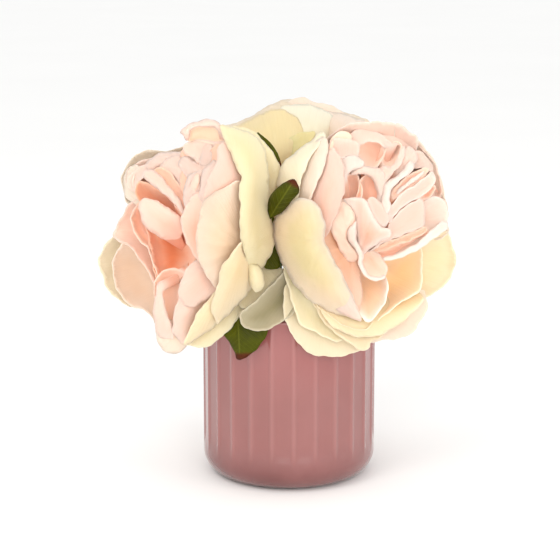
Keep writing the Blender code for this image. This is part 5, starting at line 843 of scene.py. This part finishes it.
# ================================================================ petals on the sides that the front drawing doesn't show
for k in range(9):
    ring_petal(f"outer_{k}", BACK, 18 + 40 * k, 34, 64 - 4 * (k % 2), (46, 41)[k % 2], ("cream_y2", "cream_w", "cream_p")[k % 3], ruf=0.5)
for k in range(8):
    ring_petal(f"collar_{k}", BACK, 45 * k + 10, 40, 27, 20, "cream_g2", ruf=0.3, shoulder=0.12)
for k in range(7):
    ring_petal(f"middle_{k}", BACK, 51.4 * k, 40, 50, 50, ("cream_p", "pink_w")[k % 2], ruf=0.6)
for k in range(6):
    ring_petal(f"inner_{k}", BACK, 60 * k + 22, 40, 37, 51, ("pink_w", "pink_p")[k % 2], ruf=0.9)
for k in range(6):
    ring_petal(f"heart_{k}", BACK, 60 * k + 50, 40, 24, 50, "pink_p", ruf=1.2, h0=10)
for k in range(5):
    ring_petal(f"core_{k}", BACK, 72 * k + 10, 42, 12, 48, "pink_d", ruf=1.3, h0=14)

# The backs of the two front flowers: two rings of broad guard petals that close them off behind.
for bloom, lean in ((LEFT, 0), (RIGHT, 18)):
    for k in range(9):
        ring_petal(f"guard_{k}", bloom, 40 * k + lean, 35, 41 - 2 * (k % 2), (30, 27)[k % 2], ("cream_w", "cream_p", "cream_y2")[k % 3], ruf=0.5)
    for k in range(8):
        ring_petal(f"collar_{k}", bloom, 45 * k + lean + 20, 40, 25, 19, "cream_g2", ruf=0.3, shoulder=0.12)
    for k in range(9):
        phi = 40 * k + lean + 20
        tip = bloom.world(np.array([50.0]), np.radians([float(phi)]), np.array([34.0]))[0]
        if tip[1] > bloom.seat[1] + 8:
            ring_petal(f"rear_{k}", bloom, phi, 33, 49, 35, ("cream_y2", "cream_w", "cream_p")[k % 3], ruf=0.5)


# ================================================================ leaves
LEAF = leaf_material()
LEAF_FRESH = leaf_material("leaf_fresh", browned=False)


def leaf(name, spine, widths, facing, fold=0.16, cup=0.0, nu=14, nv=46, thickness=0.5, node=None):
    line, length = curve_through(spine, nv + 1)
    w_at = np.interp(np.linspace(0, 1, nv + 1), np.linspace(0, 1, len(widths)), widths)
    for _ in range(3):
        w_at[1:-1] = (w_at[:-2] + w_at[1:-1] * 2 + w_at[2:]) / 4
    facing = np.asarray(facing, dtype=float)
    rows = []
    tangent = np.gradient(line, axis=0)
    tangent /= np.linalg.norm(tangent, axis=1, keepdims=True)
    us = np.linspace(-1, 1, nu + 1)
    for j in range(nv + 1):
        across = np.cross(tangent[j], facing)
        across /= np.linalg.norm(across)
        out = np.cross(across, tangent[j])
        w = w_at[j] / 2
        serr = 1 + 0.03 * math.sin(j * 1.9)
        wavy = 0.35 * math.sin(j * 0.55)
        rows.append([line[j] + across * (w * v * (serr if abs(v) > 0.9 else 1)) + out * (fold * w * (abs(v) ** 1.3) + wavy * v * abs(v)) for v in us])
    pts = np.array(rows).transpose(1, 0, 2).reshape(-1, 3)
    faces = []
    for i in range(nu):
        for j in range(nv):
            q = i * (nv + 1) + j
            faces.append((q, q + nv + 1, q + nv + 2, q + 1))
    t = np.tile(np.linspace(0, 1, nv + 1), nu + 1)
    u = np.repeat(us, nv + 1)
    ob = make(name, pts * MM, faces, LEAF, (("along", t), ("across", u)))
    uv_grid(ob.data, nu, nv)
    solid = ob.modifiers.new("blade", "SOLIDIFY")
    solid.thickness = thickness * MM
    solid.offset = 0.0
    if node:
        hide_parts(node)
    return ob


LEAF_OUTLINES = [
    ("front_leaf_detail", "leaf", (-4.6, 155.5, 72.0), [(-11.6, 145.7, 61.0), (-12.0, 152.0, 62.0), (-11.6, 157.2, 63.0), (-9.2, 161.0, 65.0), (-5.8, 164.2, 67.0), (-2.3, 166.8, 69.0), (0.6, 168.4, 70.0), (3.2, 168.6, 70.5), (4.9, 165.9, 71.0), (5.8, 162.4, 71.0), (4.6, 159.5, 71.0), (1.7, 156.6, 70.0), (-0.9, 153.2, 69.0), (-4.6, 149.4, 66.0), (-8.7, 147.1, 63.0)], {}),
    ("front_leaf_base", "leaf", (-9.8, 123.1, 47.0), [(-9.8, 147.4, 58.0), (-7.5, 143.9, 54.0), (-6.9, 133.5, 48.0), (-5.5, 126.6, 47.0), (-6.1, 117.3, 47.0), (-13.9, 117.3, 48.0), (-13.3, 122.0, 47.0), (-11.0, 127.7, 47.0), (-10.4, 136.4, 50.0), (-11.3, 143.9, 56.0)], {}),
    ("rim_leaf_detail", "leaf", (-24.3, 76.9, 53.0), [(-29.5, 89.6, 47.0), (-32.9, 83.8, 48.0), (-37.3, 79.5, 48.5), (-35.8, 76.3, 49.0), (-33.2, 72.2, 49.5), (-30.9, 68.2, 50.0), (-30.1, 64.9, 50.5), (-28.3, 64.2, 51.0), (-26.0, 64.9, 51.5), (-22.5, 67.6, 52.0), (-18.8, 70.2, 52.0), (-15.6, 74.3, 52.0), (-11.8, 81.2, 51.0), (-13.3, 87.3, 49.0), (-21.4, 91.9, 46.0)], {}),
]

for name, _, belly, rim, options in LEAF_OUTLINES:
    ob = membrane(name, LEFT, belly, rim, "leaf", mat=LEAF_FRESH if name == "front_leaf_base" else LEAF, slot="leaf_green", tail=False, ruf=0.3, lip=0.1, thickness=0.5, plain_name=True, round_=1.0, nip=0.6, blade=(rim[0], rim[len(rim) // 2]))
    if name in ("front_leaf_detail", "rim_leaf_detail"):
        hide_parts(name.replace("_detail", ""))
leaf("sepal_detail", [seen(*p) for p in [(-18.5, 195.4, 33.0), (-15.0, 192.2, 34.0), (-11.6, 189.0, 35.0), (-8.7, 185.2, 36.5), (-6.4, 180.9, 38.0), (-4.6, 175.7, 39.5)]], (1.2, 2.0, 2.2, 2.0, 1.6, 0.8), (0.5, -1.0, 0.6), thickness=0.8, nu=6, nv=30)


# ================================================================ vase
VASE_R, VASE_H, FOOT_R, WALL, FLOOR = 50.0, 100.0, 13.0, 3.4, 5.0
FLUTES, PHASE = 25, -40.3


def vase():
    """Fluted outside: flat-bottomed shallow channels between narrow rounded ridges, fading into the smooth foot and below the rim."""
    steps = FLUTES * 16
    prof = []
    for k in range(17):
        a = math.pi / 2 * k / 16
        prof.append((VASE_R - FOOT_R * (1 - math.sin(a)), FOOT_R * (1 - math.cos(a)), 0.0))
    for z, share in ((14.5, 0.02), (16.5, 0.12), (18.5, 0.35), (20.5, 0.65), (23, 0.9), (26, 1), (34, 1), (44, 1), (54, 1), (64, 1), (74, 1), (84, 1), (92, 1), (94.5, 0.85), (96.3, 0.45), (97.6, 0.15), (98.4, 0.0)):
        prof.append((VASE_R, z, share))
    mid = VASE_R - WALL / 2
    for k in range(1, 12):
        a = math.pi * k / 12
        prof.append((mid + WALL / 2 * math.cos(a), 98.4 + 1.6 * math.sin(a), 0.0))
    r_in = VASE_R - WALL
    for z in (98.4, 90, 70, 50, 30, 18):
        prof.append((r_in, z, 0.0))
    for k in range(1, 7):
        a = math.pi / 2 * k / 6
        prof.append((r_in - 9 * (1 - math.cos(a)), 18 - 13 * math.sin(a), 0.0))
    rings, ridge_v, verts = [], [], []
    for r, z, share in prof:
        ring = []
        for k in range(steps):
            cell = (k % 16) / 16.0
            d = min(cell, 1 - cell)
            hill = math.exp(-(d / 0.10) ** 2)
            channel = 1 - hill
            sag = 0.25 * math.sin(math.pi * cell) ** 2
            rr = r - share * (0.85 * channel + sag)
            ang = math.radians(PHASE - 90) + 2 * math.pi * k / steps
            ring.append(len(verts))
            verts.append((rr * math.cos(ang) * MM, rr * math.sin(ang) * MM, z * MM))
            ridge_v.append(hill * share)
        rings.append(ring)
    faces = []
    for low, high in zip(rings, rings[1:]):
        for k in range(steps):
            n = (k + 1) % steps
            faces.append((low[k], low[n], high[n], high[k]))
    for ring, z, flip in ((rings[0], 0.0, True), (rings[-1], FLOOR, False)):
        c = len(verts)
        verts.append((0, 0, z * MM))
        ridge_v.append(0.0)
        for k in range(steps):
            n = (k + 1) % steps
            faces.append((c, ring[n], ring[k]) if flip else (c, ring[k], ring[n]))
    ob = make("vase_detail", verts, faces, glass_material(), (("ridge", ridge_v),))
    ob.data.set_sharp_from_angle(angle=math.radians(60))
    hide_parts("vase")
    return ob


vase()

# ================================================================ carried-over CAD nodes
STEM_M = green_material("stem_detail", (74, 92, 32), (128, 150, 70), 260.0)
CALYX_M = green_material("calyx_detail", (70, 84, 22), (118, 132, 52), 180.0)
for node_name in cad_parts:
    node = bpy.data.objects[node_name] if node_name in bpy.data.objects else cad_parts[node_name]
    if node_name.endswith("_stem"):
        node.data.materials.clear()
        node.data.materials.append(STEM_M)
    elif node_name.endswith("_calyx"):
        node.data.materials.clear()
        node.data.materials.append(CALYX_M)

# every CAD petal is hidden; the detailed petals stand for them
node_names = [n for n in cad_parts]
for n in node_names:
    if n.endswith(("_stem", "_calyx", "_leaf")) or n == "vase":
        continue
    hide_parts(n)

# ================================================================ floor
floor = bpy.data.meshes.new("floor")
bm = bmesh.new()
bmesh.ops.create_grid(bm, x_segments=4, y_segments=4, size=6.0)
bm.to_mesh(floor)
bm.free()
floor_m = Nodes("floor_paper")
grain = floor_m.noise(floor_m.add("ShaderNodeTexCoord").outputs["Object"], 3.0, 2.0)
floor_m.link(floor_m.mix(grain, (0.93, 0.93, 0.925, 1), (0.96, 0.96, 0.955, 1)), floor_m.bsdf.inputs["Base Color"])
floor_m.bsdf.inputs["Roughness"].default_value = 0.9
floor_m.bsdf.inputs["Specular IOR Level"].default_value = 0.1
floor.materials.append(floor_m.mat)
floor_ob = bpy.data.objects.new("floor", floor)
floor_ob.location = (0, 0, -0.0004)
bpy.context.scene.collection.objects.link(floor_ob)
